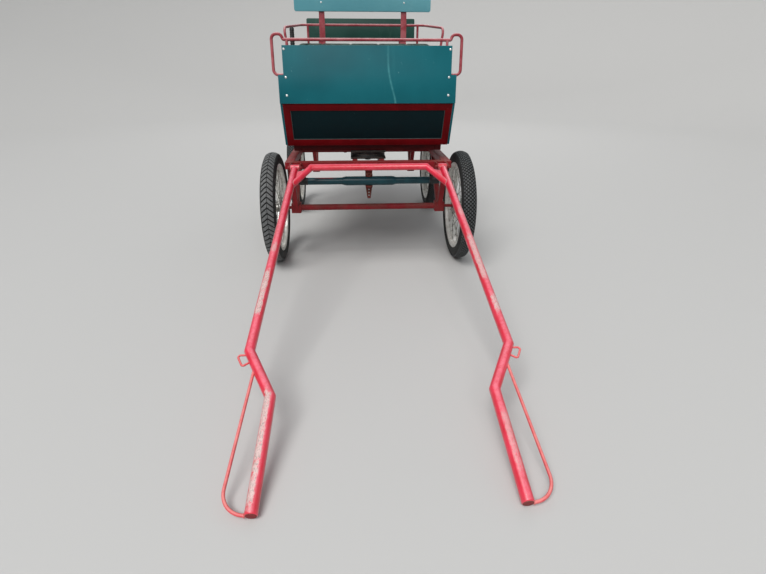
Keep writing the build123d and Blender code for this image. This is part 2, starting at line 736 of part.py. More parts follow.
def back_bar_outline(rear, foot_z, lean_z, top_z):
    """Side view of an upright that stands straight and then leans back."""
    lean = math.tan(math.radians(BACK_LEAN)) * (top_z - lean_z)
    front = [(rear, foot_z), (rear, lean_z), (rear + lean, top_z)]
    back = [(y + BACK_BAR_THICKNESS, z) for y, z in reversed(front)]
    return front + back


def make_back_bars(rear, foot_z, lean_z, top_z, spacing):
    outline = back_bar_outline(rear, foot_z, lean_z, top_z)
    bars = []
    for side in (-1, 1):
        middle = side * spacing / 2
        bars.append(side_plate(outline, middle - BACK_BAR_WIDTH / 2, middle + BACK_BAR_WIDTH / 2))
    return Compound(children=bars)


def make_backrest(rear, lean_z, bottom_z, width, height):
    """Board that lies on the front of the leaning uprights."""
    lean = math.radians(BACK_LEAN)
    up = Vector(0, math.sin(lean), math.cos(lean))
    start = Vector(0, rear + math.tan(lean) * (bottom_z - lean_z), bottom_z)
    plane = Plane(start + up * (height / 2), x_dir=(1, 0, 0), z_dir=Vector(1, 0, 0).cross(up))
    return extrude(plane * RectangleRounded(width, height, PANEL), BACKREST_THICKNESS)


def make_seat_rail():
    radius = RAIL_DIAMETER / 2
    rail_front_y = SEAT_FRONT + SEAT_RAIL_SETBACK
    rail_back_z = seat_board_z + SEAT_RAIL_BACK_RISE
    rail_foot_z = seat_board_z - SEAT_RAIL_FOOT
    foot_x = BODY_WIDTH / 2 + radius + SEAT_GAP
    front_x = SEAT_RAIL_FRONT_SPACING / 2
    back_x = SEAT_RAIL_BACK_SPACING / 2
    back_y = seat_rear + BACK_BAR_THICKNESS + radius + 2 * SEAT_GAP
    half = [(foot_x, rail_front_y, rail_foot_z), (foot_x, rail_front_y, seat_board_z),
            (front_x, rail_front_y, seat_board_z + SEAT_RAIL_FRONT_RISE), (back_x, back_y, rail_back_z)]
    points = [(-x, y, z) for x, y, z in half] + list(reversed(half))
    bends = [SEAT_RAIL_BEND] * 3
    rail = bent_rod(points, RAIL_DIAMETER, bends + bends)
    post_y = seat_rear + radius + SEAT_GAP
    for side in (-1, 1):
        post_x = side * (back_x - SEAT_RAIL_BEND)
        rail += rod((post_x, post_y, rail_foot_z), (post_x, back_y, rail_back_z), RAIL_DIAMETER)
    return rail


def make_tail_panel():
    return block((-inner_half, inner_half), (BODY_REAR - PANEL, BODY_REAR),
                 (chassis_top, rear_seat_board_z))


# Hand brake lever
def make_lever():
    lever_x = -(inner_half - LEVER_INSET)
    lever_z = floor_top + LEVER_PIVOT_HEIGHT
    pivot = (lever_x, LEVER_PIVOT_Y, lever_z)
    line = Vector(0, LEVER_LEAN, LEVER_RISE)
    shank_end = Vector(*pivot) + line.normalized() * (line.length - GRIP_LENGTH)
    lever = bar(pivot, tuple(shank_end), LEVER_THICKNESS, LEVER_WIDTH)
    lever += rod((-inner_half, LEVER_PIVOT_Y, lever_z),
                 (lever_x + 2 * LEVER_THICKNESS, LEVER_PIVOT_Y, lever_z), 1.5 * LEVER_WIDTH)
    grip = rod(tuple(shank_end), tuple(Vector(*pivot) + line), GRIP_DIAMETER)
    return lever, grip


# Rear step
def make_rear_step():
    half = STEP_WIDTH / 2
    bar_half = STEP_BAR / 2
    tail = BODY_REAR
    step = block((-half, half), (tail, tail + STEP_DEPTH), (STEP_HEIGHT - STEP_PLATE, STEP_HEIGHT))
    for side in (-1, 1):
        edges = sorted((side * half, side * (half - STEP_BAR)))
        step += block(edges, (tail, tail + STEP_BAR), (STEP_HEIGHT - STEP_PLATE, chassis_top))
        step += block(edges, (tail - PANEL, tail + STEP_BAR), (chassis_bottom, chassis_top))
        step += block(edges, (tail, tail + STEP_DEPTH), (STEP_HEIGHT - STEP_BAR, STEP_HEIGHT))
    return step


nodes = {}
tyre = make_tyre()
rim = make_rim()
hub = make_hub()
# Columns: name, side, distance behind the front axle
WHEELS = [
    ("front_left", -1, 0), ("front_right", 1, 0),
    ("rear_left", -1, WHEELBASE), ("rear_right", 1, WHEELBASE),
]
for name, side, y in WHEELS:
    place = Pos(side * TRACK / 2, y, axle_height)
    nodes[f"{name}_tyre"] = place * tyre
    nodes[f"{name}_rim"] = place * rim
    nodes[f"{name}_hub"] = place * hub

strut_x = (FORE_WIDTH - FORE_BAR_WIDTH) / 2
nodes["front_axle"] = make_axle(0, strut_x, (FORE_STRUT_FRONT, FORE_STRUT_REAR), fore_bottom)
rear_feet = (WHEELBASE - REAR_STRUT_SPREAD / 2, WHEELBASE + REAR_STRUT_SPREAD / 2)
nodes["rear_axle"] = make_axle(WHEELBASE, chassis_side_spacing / 2, rear_feet, chassis_bottom)
nodes["fore_frame"] = make_fore_frame()
nodes["turntable_lower"], ring_high = make_turntable_lower()
nodes["turntable_upper"] = make_turntable_upper(ring_high)
nodes["tree_hanger"] = make_hanger()
nodes["swingletree"] = make_swingletree()
nodes["swingletree_ends"] = make_tree_caps()
nodes["shaft_left"] = make_shaft(-1)
nodes["shaft_right"] = make_shaft(1)
nodes["shaft_cross_tube"] = make_cross_tube()
nodes["shaft_guards"] = make_guards()
nodes["shaft_hooks"] = make_hooks()

nodes["chassis_frame"] = make_chassis_rails()
nodes["chassis_cross_members"] = make_chassis_cross()
nodes["floor"] = make_floor()
nodes["toe_frame"] = make_toe_frame()
nodes["toe_board"] = make_toe_board()
nodes["dash"] = make_dash()
nodes["dash_rail"] = make_dash_rail()
for name, side in (("left", -1), ("right", 1)):
    nodes[f"side_panel_{name}"] = panel_at(side_outline(), side)
    nodes[f"rear_side_panel_{name}"] = panel_at(rear_side_outline(), side)
nodes["tail_panel"] = make_tail_panel()
nodes["driver_seat_box"] = make_seat_box(SEAT_FRONT, seat_rear, seat_board_z)
nodes["driver_cushion"] = make_cushion(SEAT_FRONT, seat_rear, seat_board_z, CUSHION_HEIGHT)
backrest_z = seat_board_z + BACKREST_LIFT
back_top = backrest_z + BACKREST_HEIGHT * math.cos(math.radians(BACK_LEAN)) - BACK_BAR_WIDTH / 2
back_lean_z = seat_board_z + BACK_LEAN_START
driver_bar_y = seat_rear + SEAT_GAP
nodes["driver_back_bars"] = make_back_bars(
    driver_bar_y, seat_board_z - BACK_BAR_FOOT, back_lean_z, back_top, BACK_BAR_SPACING)
nodes["driver_backrest"] = make_backrest(
    driver_bar_y, back_lean_z, backrest_z, BACKREST_WIDTH, BACKREST_HEIGHT)
nodes["seat_rail"] = make_seat_rail()
nodes["rear_seat_box"] = make_seat_box(rear_seat_front, rear_seat_rear, rear_seat_board_z)
nodes["rear_cushion"] = make_cushion(
    rear_seat_front, rear_seat_rear, rear_seat_board_z, REAR_CUSHION_HEIGHT)
rear_backrest_z = rear_seat_board_z + REAR_BACKREST_LIFT
rear_top = rear_backrest_z + REAR_BACKREST_HEIGHT - BACK_BAR_WIDTH / 2
rear_bar_y = rear_seat_rear + SEAT_GAP
nodes["rear_back_bars"] = make_back_bars(
    rear_bar_y, rear_seat_board_z - REAR_BACK_BAR_FOOT, rear_seat_board_z, rear_top, REAR_BACK_BAR_SPACING)
nodes["rear_backrest"] = make_backrest(
    rear_bar_y, rear_seat_board_z, rear_backrest_z, REAR_BACKREST_WIDTH, REAR_BACKREST_HEIGHT)
nodes["brake_lever"], nodes["brake_grip"] = make_lever()
nodes["rear_step"] = make_rear_step()

# Move everything so that the origin is under the centre of the whole length
front_end = min(shape.bounding_box().min.Y for shape in nodes.values())
rear_end = max(shape.bounding_box().max.Y for shape in nodes.values())
length_shift = Pos(0, -(front_end + rear_end) / 2, 0)
os.makedirs("parts", exist_ok=True)
for name, shape in nodes.items():
    export_step(length_shift * shape, f"parts/{name}.step")
print("length", round(rear_end - front_end, 1), "shift", round(-(front_end + rear_end) / 2, 3))
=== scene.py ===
import json
import math

import bmesh
import bpy
from mathutils import Matrix, Vector
from mathutils.bvhtree import BVHTree

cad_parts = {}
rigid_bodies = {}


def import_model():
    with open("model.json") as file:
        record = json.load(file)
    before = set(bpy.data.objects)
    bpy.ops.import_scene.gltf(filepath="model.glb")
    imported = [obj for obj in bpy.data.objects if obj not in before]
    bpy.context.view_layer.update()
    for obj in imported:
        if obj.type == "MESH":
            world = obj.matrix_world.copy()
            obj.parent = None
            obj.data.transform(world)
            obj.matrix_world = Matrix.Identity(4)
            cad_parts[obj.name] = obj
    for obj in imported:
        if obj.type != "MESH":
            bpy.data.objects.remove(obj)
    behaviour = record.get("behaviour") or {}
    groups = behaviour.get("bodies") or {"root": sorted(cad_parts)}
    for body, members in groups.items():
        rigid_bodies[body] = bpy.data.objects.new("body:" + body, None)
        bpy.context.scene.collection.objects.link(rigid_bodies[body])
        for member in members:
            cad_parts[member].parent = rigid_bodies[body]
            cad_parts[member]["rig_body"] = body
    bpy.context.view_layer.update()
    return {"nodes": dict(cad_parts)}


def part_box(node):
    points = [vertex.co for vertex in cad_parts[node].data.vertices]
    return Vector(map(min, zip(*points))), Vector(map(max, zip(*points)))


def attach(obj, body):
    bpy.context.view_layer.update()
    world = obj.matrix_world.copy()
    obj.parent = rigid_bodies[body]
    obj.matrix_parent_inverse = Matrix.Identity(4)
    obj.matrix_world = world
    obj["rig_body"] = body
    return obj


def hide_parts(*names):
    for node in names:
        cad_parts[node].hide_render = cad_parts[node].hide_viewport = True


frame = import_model()
nodes = frame["nodes"]
print("frame loaded")


# Places read from the frame, in metres; the front is towards -Y and the left of the picture is -X
def middleOf(node):
    low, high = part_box(node)
    return (low + high) / 2


wheelNames = ["front_left", "front_right", "rear_left", "rear_right"]
wheelCentre = {name: middleOf(name + "_tyre") for name in wheelNames}
frontY = wheelCentre["front_left"].y


def fromAxle(x, y, z):
    # a place given from the ground under the front axle
    return Vector((x, frontY + y, z))


def addObject(name, data):
    made = bpy.data.objects.new(name, data)
    bpy.context.scene.collection.objects.link(made)
    return made


# The camera stands where the photographer stood, a little left of the middle
view = {"pitch": 25.45, "yaw": 3.22, "roll": 0.1, "place": (-0.087, -2.998, 1.19),
        "focalPixels": 470.8, "imageWidth": 766, "centrePixel": 380.6}


def makeCamera():
    data = bpy.data.cameras.new("camera")
    data.sensor_width = 36
    data.lens = view["focalPixels"] * data.sensor_width / view["imageWidth"]
    data.shift_x = (view["imageWidth"] / 2 - view["centrePixel"]) / view["imageWidth"]
    camera = addObject("camera", data)
    pose = Matrix.Translation(fromAxle(*view["place"]))
    for degrees, axis in ((-view["yaw"], "Z"), (90 - view["pitch"], "X"), (view["roll"], "Z")):
        pose = pose @ Matrix.Rotation(math.radians(degrees), 4, axis)
    camera.matrix_world = pose
    bpy.context.scene.camera = camera


# Mesh helpers that the floor needs too
def spinRound(bm, axis, steps, merge=1e-6):
    # turns all of a bmesh once round an axis through the origin, and closes the seam
    bmesh.ops.spin(bm, geom=bm.verts[:] + bm.edges[:], cent=(0, 0, 0), axis=axis, dvec=(0, 0, 0),
                   angle=math.tau, steps=steps, use_merge=True, use_duplicate=False)
    bmesh.ops.remove_doubles(bm, verts=bm.verts, dist=merge)


def meshOf(name, bm):
    mesh = bpy.data.meshes.new(name)
    bm.to_mesh(mesh)
    bm.free()
    return mesh


# Pale round floor that curves up all round, under one very soft high light and two softboxes
stage = {"radius": 17, "bend": 8.0, "height": 12, "turnSteps": 120, "bendSteps": 32, "rough": 0.85,
         "colour": (0.52, 0.52, 0.515)}
highLight = {"elevation": 58, "turn": -34, "spread": 32, "strength": 2.0, "colour": (1.0, 0.985, 0.96)}
softboxes = [
    {"name": "front", "place": (-1.4, -7.5, 6.2), "aim": (0, 0, 0.8), "size": (8, 3.5), "power": 320},
    {"name": "rear", "place": (1.0, 8.0, 5.5), "aim": (0, 0.5, 0.8), "size": (8, 3), "power": 120},
]
ambient = {"colour": (0.93, 0.96, 1.0), "strength": 0.36}


def makeStage():
    bm = bmesh.new()
    flat = stage["radius"] - stage["bend"]
    middle, edge = bm.verts.new((0, 0, 0)), bm.verts.new((flat, 0, 0))
    bm.edges.new((middle, edge))
    swept = bmesh.ops.spin(bm, geom=[edge], cent=(flat, 0, stage["bend"]), axis=(0, -1, 0), angle=math.pi / 2,
                           steps=stage["bendSteps"])["geom_last"]
    corner = [item for item in swept if isinstance(item, bmesh.types.BMVert)][0]
    bm.edges.new((corner, bm.verts.new((stage["radius"], 0, stage["height"]))))
    spinRound(bm, (0, 0, 1), stage["turnSteps"], 1e-4)
    mesh = meshOf("floor", bm)
    mesh.shade_smooth()
    material = bpy.data.materials.new("paleFloor")
    material.use_nodes = True
    shader = material.node_tree.nodes["Principled BSDF"]
    shader.inputs["Base Color"].default_value = (*stage["colour"], 1)
    shader.inputs["Roughness"].default_value = stage["rough"]
    mesh.materials.append(material)
    addObject("studioFloor", mesh)


def makeLights():
    data = bpy.data.lights.new("highLight", "SUN")
    data.energy = highLight["strength"]
    data.angle = math.radians(highLight["spread"])
    data.color = highLight["colour"]
    light = addObject("highLight", data)
    light.rotation_euler = (math.radians(90 - highLight["elevation"]), 0, math.radians(highLight["turn"]))
    for box in softboxes:
        data = bpy.data.lights.new(box["name"], "AREA")
        data.shape = "RECTANGLE"
        data.size, data.size_y = box["size"]
        data.energy = box["power"]
        light = addObject(box["name"], data)
        light.location = box["place"]
        way = Vector(box["aim"]) - Vector(box["place"])
        light.rotation_euler = way.to_track_quat("-Z", "Y").to_euler()
    world = bpy.data.worlds.new("softSky")
    world.use_nodes = True
    sky = world.node_tree.nodes["Background"]
    sky.inputs["Color"].default_value = (*ambient["colour"], 1)
    sky.inputs["Strength"].default_value = ambient["strength"]
    bpy.context.scene.world = world
    bpy.context.scene.view_settings.view_transform = "Standard"


makeCamera()
makeStage()
makeLights()
print("camera, floor and lights made")


# Shader helpers
def shade(red, green, blue):
    # colour given on the 0 to 255 screen scale
    linear = []
    for part in (red, green, blue):
        value = part / 255
        linear.append(value / 12.92 if value <= 0.04045 else ((value + 0.055) / 1.055) ** 2.4)
    return (*linear, 1)


def shaded(spec):
    # the same settings, with each triple turned into a colour
    return {key: shade(*value) if isinstance(value, tuple) else value for key, value in spec.items()}


def feed(tree, socket, value):
    # joins an output to a socket, or sets the socket's own value
    if isinstance(value, bpy.types.NodeSocket):
        tree.links.new(value, socket)
    else:
        socket.default_value = value


def addNode(tree, kind, inputs=(), **settings):
    # a node's outputs, once its settings are made and its inputs fed by name or number
    node = tree.nodes.new(kind)
    for name, value in settings.items():
        setattr(node, name, value)
    for label, value in dict(inputs).items():
        feed(tree, node.inputs[label], value)
    return node.outputs


def maths(tree, operation, *values, clamp=False):
    return addNode(tree, "ShaderNodeMath", enumerate(values), operation=operation, use_clamp=clamp)[0]


def times(tree, first, second, clamp=False):
    return maths(tree, "MULTIPLY", first, second, clamp=clamp)


def scaled(tree, value, factor, added, clamp=False):
    return maths(tree, "MULTIPLY_ADD", value, factor, added, clamp=clamp)


def ramp(tree, value, low, high, outLow=0.0, outHigh=1.0):
    ends = enumerate((value, low, high, outLow, outHigh))
    return addNode(tree, "ShaderNodeMapRange", ends, interpolation_type="SMOOTHSTEP")[0]


def blend(tree, amount, first, second):
    # a mix of two colours; inputs 6 and 7 and output 2 are the node's colour sockets
    return addNode(tree, "ShaderNodeMix", {0: amount, 6: first, 7: second}, data_type="RGBA")[2]


def cloud(tree, vector, scale, detail, roughness):
    inputs = {"Vector": vector, "Scale": scale, "Detail": detail, "Roughness": roughness}
    return addNode(tree, "ShaderNodeTexNoise", inputs)["Fac"]


def placeIn(tree):
    return addNode(tree, "ShaderNodeTexCoord")["Object"]


def normalIn(tree):
    return addNode(tree, "ShaderNodeNewGeometry")["Normal"]


def axesOf(tree, vector):
    return addNode(tree, "ShaderNodeSeparateXYZ", {0: vector})


def dotOf(tree, first, second):
    return addNode(tree, "ShaderNodeVectorMath", {0: first, 1: second}, operation="DOT_PRODUCT")["Value"]


def stretched(tree, place, scale, shift=(0, 0, 0)):
    return addNode(tree, "ShaderNodeMapping", {"Vector": place, "Scale": scale, "Location": shift})[0]


def makeGroup(name, inputs, outputs):
    # a node group of plain number sockets; each input comes with its value
    group = bpy.data.node_groups.new(name, "ShaderNodeTree")
    for label, value in inputs.items():
        socket = group.interface.new_socket(name=label, in_out="INPUT", socket_type="NodeSocketFloat")
        socket.default_value = value
    for label in outputs:
        group.interface.new_socket(name=label, in_out="OUTPUT", socket_type="NodeSocketFloat")
    return group, group.nodes.new("NodeGroupInput").outputs, group.nodes.new("NodeGroupOutput").inputs


def useGroup(tree, group, **values):
    return addNode(tree, "ShaderNodeGroup", values, node_tree=group)


def makeWearGroup():
    # where paint is knocked off: corners first, then a scatter of small chips
    group, given, out = makeGroup("wornEdges", {"Width": 0.003, "Corners": 0.6, "Chips": 0.3, "Grain": 60.0},
                                  ("Mask", "Deep", "Edge"))
    place = placeIn(group)
    rounded = addNode(group, "ShaderNodeBevel", {"Radius": given["Width"]}, samples=6)[0]
    edge = ramp(group, dotOf(group, rounded, normalIn(group)), 0.995, 0.86)
    coarse = cloud(group, place, given["Grain"], 6.0, 0.68)
    patchy = cloud(group, place, 5.0, 2.0, 0.5)
    push = scaled(group, given["Chips"], times(group, patchy, 0.4), times(group, edge, given["Corners"]))
    level = scaled(group, push, 0.55, coarse)
    feed(group, out["Mask"], ramp(group, level, 0.70, 0.74))
    feed(group, out["Deep"], ramp(group, level, 0.80, 0.88))
    feed(group, out["Edge"], edge)
    return group


def makeDustGroup():
    # fine dust on upward faces, thicker towards the ground
    group, given, out = makeGroup("settledDust", {"Amount": 0.4, "Reach": 0.6, "Grain": 14.0}, ("Mask",))
    place = placeIn(group)
    upward = ramp(group, axesOf(group, normalIn(group))[2], 0.2, 1.0)
    low = ramp(group, axesOf(group, place)[2], given["Reach"], 0.0)
    both = scaled(group, low, 0.6, times(group, upward, 0.75))
    broken = ramp(group, cloud(group, place, given["Grain"], 7.0, 0.62), 0.3, 0.72)
    feed(group, out["Mask"], times(group, times(group, both, broken), given["Amount"], clamp=True))
    return group


def makeSkinGroup():
    # orange peel and brush marks in a paint film, as a height
    group, given, out = makeGroup("paintSkin", {"Fine": 260.0, "Broad": 18.0}, ("Height", "Mottle"))
    place = placeIn(group)
    fine = cloud(group, place, given["Fine"], 2.0, 0.5)
    broad = cloud(group, place, given["Broad"], 4.0, 0.6)
    feed(group, out["Height"], scaled(group, broad, 0.6, times(group, fine, 0.4)))
    feed(group, out["Mottle"], ramp(group, broad, 0.35, 0.68))
    return group


wornEdges = makeWearGroup()
settledDust = makeDustGroup()
paintSkin = makeSkinGroup()


def startMaterial(name, rough, shine=0.5, metallic=0.0, coat=0.0):
    material = bpy.data.materials.new(name)
    material.use_nodes = True
    tree = material.node_tree
    shader = tree.nodes["Principled BSDF"]
    own = {"Roughness": rough, "Specular IOR Level": shine, "Metallic": metallic, "Coat Weight": coat,
           "Coat Roughness": 0.3}
    for label, value in own.items():
        shader.inputs[label].default_value = value
    return material, tree, shader, placeIn(tree)


def finishMaterial(tree, shader, colour, rough, height, strength, depth):
    bump = addNode(tree, "ShaderNodeBump", {"Strength": strength, "Distance": depth, "Height": height})[0]
    for label, value in (("Base Color", colour), ("Roughness", rough), ("Normal", bump)):
        feed(tree, shader.inputs[label], value)


# Scuffed stretches of a painted bar: side, start, end, lean of the worn face and strength
shaftScuffs = [(-1, -2.09, -1.60, -0.4, 1.0), (1, -2.02, -1.70, 0.1, 0.4), (-1, -1.39, -1.03, -0.1, 0.95),
               (-1, -1.03, -0.86, 0.0, 0.6), (1, -1.22, -0.82, -0.15, 0.7), (1, -1.40, -1.2, 0.1, 0.9),
               (1, -0.80, -0.62, 0.0, 0.4)]
treeScuffs = [(-1, -0.37, -0.14, 0.35, 0.9), (1, 0.19, 0.30, 0.0, 0.3)]
# How far the scuffed stretches fade, and the grain and flecks along Y for the shafts and along X for the tree
scuffLook = {"fade": 0.09, "side": 0.02, "broad": 0.35, "push": 0.42, "fleckShift": (3.1, 1.7, 0.4),
             "grain": ((55, 150, 150), (150, 55, 80)), "fleck": ((110, 260, 260), (260, 110, 160))}

# Paint finishes. Colours: paint, its faded tone, the pale tone painted into upward faces as sun bleaching and
# painted highlight, what is scuffed up, the layer under the paint, bare metal and dust. "from" is how far a
# face looks up before the painted highlight starts
plainPaint = {"bleachAndHighlightAmount": 0.2, "from": 0.66, "corners": 0.5, "chips": 0.3, "grain": 60, "width": 0.003,
              "coat": 0.0}
paints = {
    "shaftPaint": {"paint": (206, 6, 42), "faded": (222, 30, 66), "bleachAndHighlightTone": (255, 150, 168),
                   "scuffed": (216, 190, 186), "under": (206, 176, 176), "bare": (126, 110, 102),
                   "dustTone": (226, 172, 176), "bleachAndHighlightAmount": 0.6, "from": 0.72, "grain": 150, "width": 0.004,
                   "dust": 0.06, "reach": 0.5, "rough": 0.34, "coat": 1.0, "shine": 0.5,
                   "scuffs": shaftScuffs, "scuffAxis": 1},
    "guardPaint": {"paint": (206, 62, 72), "faded": (226, 112, 112), "bleachAndHighlightTone": (244, 160, 154),
                   "under": (206, 166, 158), "bare": (128, 84, 68), "dustTone": (226, 172, 166), "bleachAndHighlightAmount": 0.5,
                   "from": 0.6, "grain": 150, "width": 0.002, "dust": 0.15, "reach": 0.4, "rough": 0.5,
                   "coat": 0.2, "shine": 0.4},
    "railPaint": {"paint": (142, 44, 54), "faded": (168, 88, 94), "bleachAndHighlightTone": (232, 190, 194),
                  "under": (196, 160, 156), "bare": (110, 76, 66), "dustTone": (190, 172, 166), "bleachAndHighlightAmount": 0.95,
                  "from": 0.4, "chips": 0.35, "grain": 130, "width": 0.002, "dust": 0.3, "reach": 0.4,
                  "rough": 0.45, "coat": 0.1, "shine": 0.35},
    "framePaint": {"paint": (118, 4, 16), "faded": (136, 14, 28), "bleachAndHighlightTone": (160, 60, 66),
                   "under": (176, 96, 96), "bare": (92, 62, 52), "dustTone": (120, 98, 86), "bleachAndHighlightAmount": 0.12,
                   "corners": 0.95, "chips": 0.34, "grain": 70, "width": 0.004, "dust": 0.5, "reach": 0.8,
                   "rough": 0.46, "shine": 0.3},
    # the toe frame's red is darkened as painted shade under the dash
    "nosePaint": {"paint": (92, 0, 6), "faded": (104, 2, 10), "bleachAndHighlightTone": (120, 30, 34), "under": (150, 70, 70),
                  "bare": (86, 52, 44), "dustTone": (110, 70, 66), "bleachAndHighlightAmount": 0.1, "corners": 0.4, "chips": 0.15,
                  "grain": 70, "dust": 0.04, "reach": 0.6, "rough": 0.42, "shine": 0.1},
    # the chassis red is darkened as painted shade under the body; its dust is real
    "chassisPaint": {"paint": (66, 2, 6), "faded": (80, 8, 12), "bleachAndHighlightTone": (100, 50, 46),
                     "under": (110, 60, 56), "bare": (70, 48, 40), "dustTone": (96, 80, 70), "grain": 55,
                     "width": 0.004, "dust": 0.25, "reach": 0.75, "rough": 0.5, "shine": 0.2},
    "treePaint": {"paint": (0, 46, 54), "faded": (2, 58, 66), "bleachAndHighlightTone": (60, 120, 128),
                  "scuffed": (160, 34, 44), "under": (140, 38, 44), "bare": (110, 70, 58),
                  "dustTone": (90, 112, 112), "bleachAndHighlightAmount": 0.3, "from": 0.7, "dust": 0.05, "reach": 0.7,
                  "rough": 0.36, "coat": 0.1, "shine": 0.3, "scuffs": treeScuffs, "scuffAxis": 0},
    "blackPaint": {"paint": (16, 16, 17), "faded": (28, 28, 28), "bleachAndHighlightTone": (70, 68, 64),
                   "under": (84, 58, 44), "bare": (104, 92, 82), "dustTone": (96, 90, 80), "corners": 0.6,
                   "dust": 0.22, "reach": 0.8, "rough": 0.45, "shine": 0.35},
    "rustyStrap": {"paint": (96, 26, 24), "faded": (88, 42, 32), "bleachAndHighlightTone": (130, 88, 76),
                   "under": (110, 72, 54), "bare": (74, 50, 40), "dustTone": (116, 96, 80), "bleachAndHighlightAmount": 0.3,
                   "corners": 0.9, "chips": 0.7, "dust": 0.35, "reach": 0.7, "rough": 0.6, "shine": 0.3},
}


def scuffMask(tree, place, rows, axis):
    # a soft window along the bar, on the faces that look up, broken by a fine drawn-out grain
    axes, normal = axesOf(tree, place), normalIn(tree)
    fade = scuffLook["fade"]
    base = frontY if axis == 1 else 0
    reach = total = 0.0
    for side, start, end, lean, strength in rows:
        start, end = base + start, base + end
        rise, fall = ramp(tree, axes[axis], start, start + fade), ramp(tree, axes[axis], end, end - fade)
        up = ramp(tree, dotOf(tree, normal, Vector((lean, 0, 1)).normalized()), 0.5, 0.9)
        here = ramp(tree, axes[0], 0.0, side * scuffLook["side"])
        window = times(tree, times(tree, rise, fall), times(tree, up, here))
        reach = maths(tree, "MAXIMUM", window, reach)
        total = maths(tree, "MAXIMUM", times(tree, window, strength), total)
    grain = cloud(tree, stretched(tree, place, scuffLook["grain"][axis]), 1.0, 6.0, 0.75)
    broad = times(tree, cloud(tree, place, 26.0, 3.0, 0.6), scuffLook["broad"])
    level = scaled(tree, reach, scuffLook["push"], maths(tree, "ADD", grain, broad))
    soft = times(tree, ramp(tree, level, 0.9, 1.08), total)
    flecks = stretched(tree, place, scuffLook["fleck"][axis], scuffLook["fleckShift"])
    speck = ramp(tree, cloud(tree, flecks, 1.0, 5.0, 0.7), 0.48, 0.62, 0.0, 0.7)
    return soft, times(tree, speck, soft)


def makePaint(name):
    spec = shaded({**plainPaint, **paints[name]})
    material, tree, shader, place = startMaterial(name, spec["rough"], spec["shine"], coat=spec["coat"])
    wear = useGroup(tree, wornEdges, Width=spec["width"], Corners=spec["corners"], Chips=spec["chips"],
                    Grain=spec["grain"])
    skin = useGroup(tree, paintSkin, Fine=240.0, Broad=16.0)
    dust = useGroup(tree, settledDust, Amount=spec["dust"], Reach=spec["reach"], Grain=13.0)["Mask"]
    # upward faces are lightened towards a pale tone: partly sun bleaching and partly a painted highlight along
    # the tops
    bleachAndHighlight = ramp(tree, axesOf(tree, normalIn(tree))[2], spec["from"], 1.0, 0.0, spec["bleachAndHighlightAmount"])
    bleachAndHighlight = times(tree, bleachAndHighlight, ramp(tree, cloud(tree, place, 70.0, 6.0, 0.7), 0.3, 0.62, 0.4, 1.0))
    layers = [(bleachAndHighlight, "bleachAndHighlightTone"), (times(tree, wear["Edge"], 0.5), "faded")]
    rough = scaled(tree, skin["Mottle"], 0.12, spec["rough"])
    if "scuffs" in spec:
        scuff, speck = scuffMask(tree, place, spec["scuffs"], spec["scuffAxis"])
        layers += [(scuff, "scuffed"), (speck, "bare")]
        rough = scaled(tree, scuff, 0.25, rough)
    layers += [(wear["Mask"], "under"), (wear["Deep"], "bare"), (dust, "dustTone")]
    colour = blend(tree, skin["Mottle"], spec["paint"], spec["faded"])
    for mask, tone in layers:
        colour = blend(tree, mask, colour, spec[tone])
    rough = scaled(tree, dust, 0.35, scaled(tree, wear["Mask"], 0.2, rough), clamp=True)
    finishMaterial(tree, shader, colour, rough, scaled(tree, wear["Mask"], -0.7, skin["Height"]), 0.45, 0.0006)
    return material


# Coated boards: film colour, slow change of tone, faint streaks, pale cut edges
boards = {
    "tealBoard": {"film": (0, 82, 92), "pale": (4, 94, 104), "streak": (60, 134, 138), "edge": (110, 160, 160),
                  "rough": 0.42, "dust": 0.04, "streaks": 0.2, "shine": 0.2},
    "dashBoard": {"film": (0, 80, 90), "pale": (6, 96, 106), "streak": (50, 126, 132), "edge": (120, 172, 172),
                  "run": (68, 140, 145), "rough": 0.42, "dust": 0.04, "streaks": 0.14, "shine": 0.2},
    # driver's backrest: its own teal made paler as a painted sky reflection
    "backBoard": {"film": (84, 148, 160), "pale": (98, 160, 170), "streak": (130, 178, 182),
                  "edge": (124, 178, 180), "rough": 0.34, "dust": 0.08, "streaks": 0.25, "shine": 0.4},
    # toe board: dark teal film, darkened further as painted shade under the dash
    "toeBoardFilm": {"film": (0, 20, 24), "pale": (0, 28, 33), "streak": (20, 52, 54), "edge": (60, 96, 94),
                     "rough": 0.5, "dust": 0.04, "streaks": 0.1, "shine": 0.12},
    # rear backrest: green board, its darkness partly painted shade
    "darkBoard": {"film": (18, 58, 50), "pale": (34, 78, 68), "streak": (88, 120, 104), "edge": (70, 104, 90),
                  "rough": 0.45, "dust": 0.3, "streaks": 0.3, "shine": 0.3},
    "floorBoard": {"film": (58, 54, 47), "pale": (74, 69, 60), "streak": (110, 100, 86), "edge": (104, 86, 62),
                   "rough": 0.6, "dust": 0.26, "streaks": 0.3, "shine": 0.3},
}
boardDust = shade(150, 150, 138)
# A dried run of water on the dash: X at its top, height of its top, its length, sideways drift and half width
waterRun = {"x": 0.108, "top": 1.27, "length": 0.30, "drift": 0.042, "curve": 2.2, "half": 0.009}


def runMask(tree, place):
    axes = axesOf(tree, place)
    down = ramp(tree, axes[2], waterRun["top"], waterRun["top"] - waterRun["length"])
    drift = scaled(tree, maths(tree, "POWER", down, waterRun["curve"]), waterRun["drift"], waterRun["x"])
    apart = maths(tree, "ABSOLUTE", maths(tree, "SUBTRACT", axes[0], drift))
    line = times(tree, ramp(tree, apart, waterRun["half"], 0.0), ramp(tree, down, 0.0, 0.5, 0.35, 1.0))
    return times(tree, line, ramp(tree, cloud(tree, place, 20.0, 4.0, 0.6), 0.3, 0.6, 0.4, 0.9))


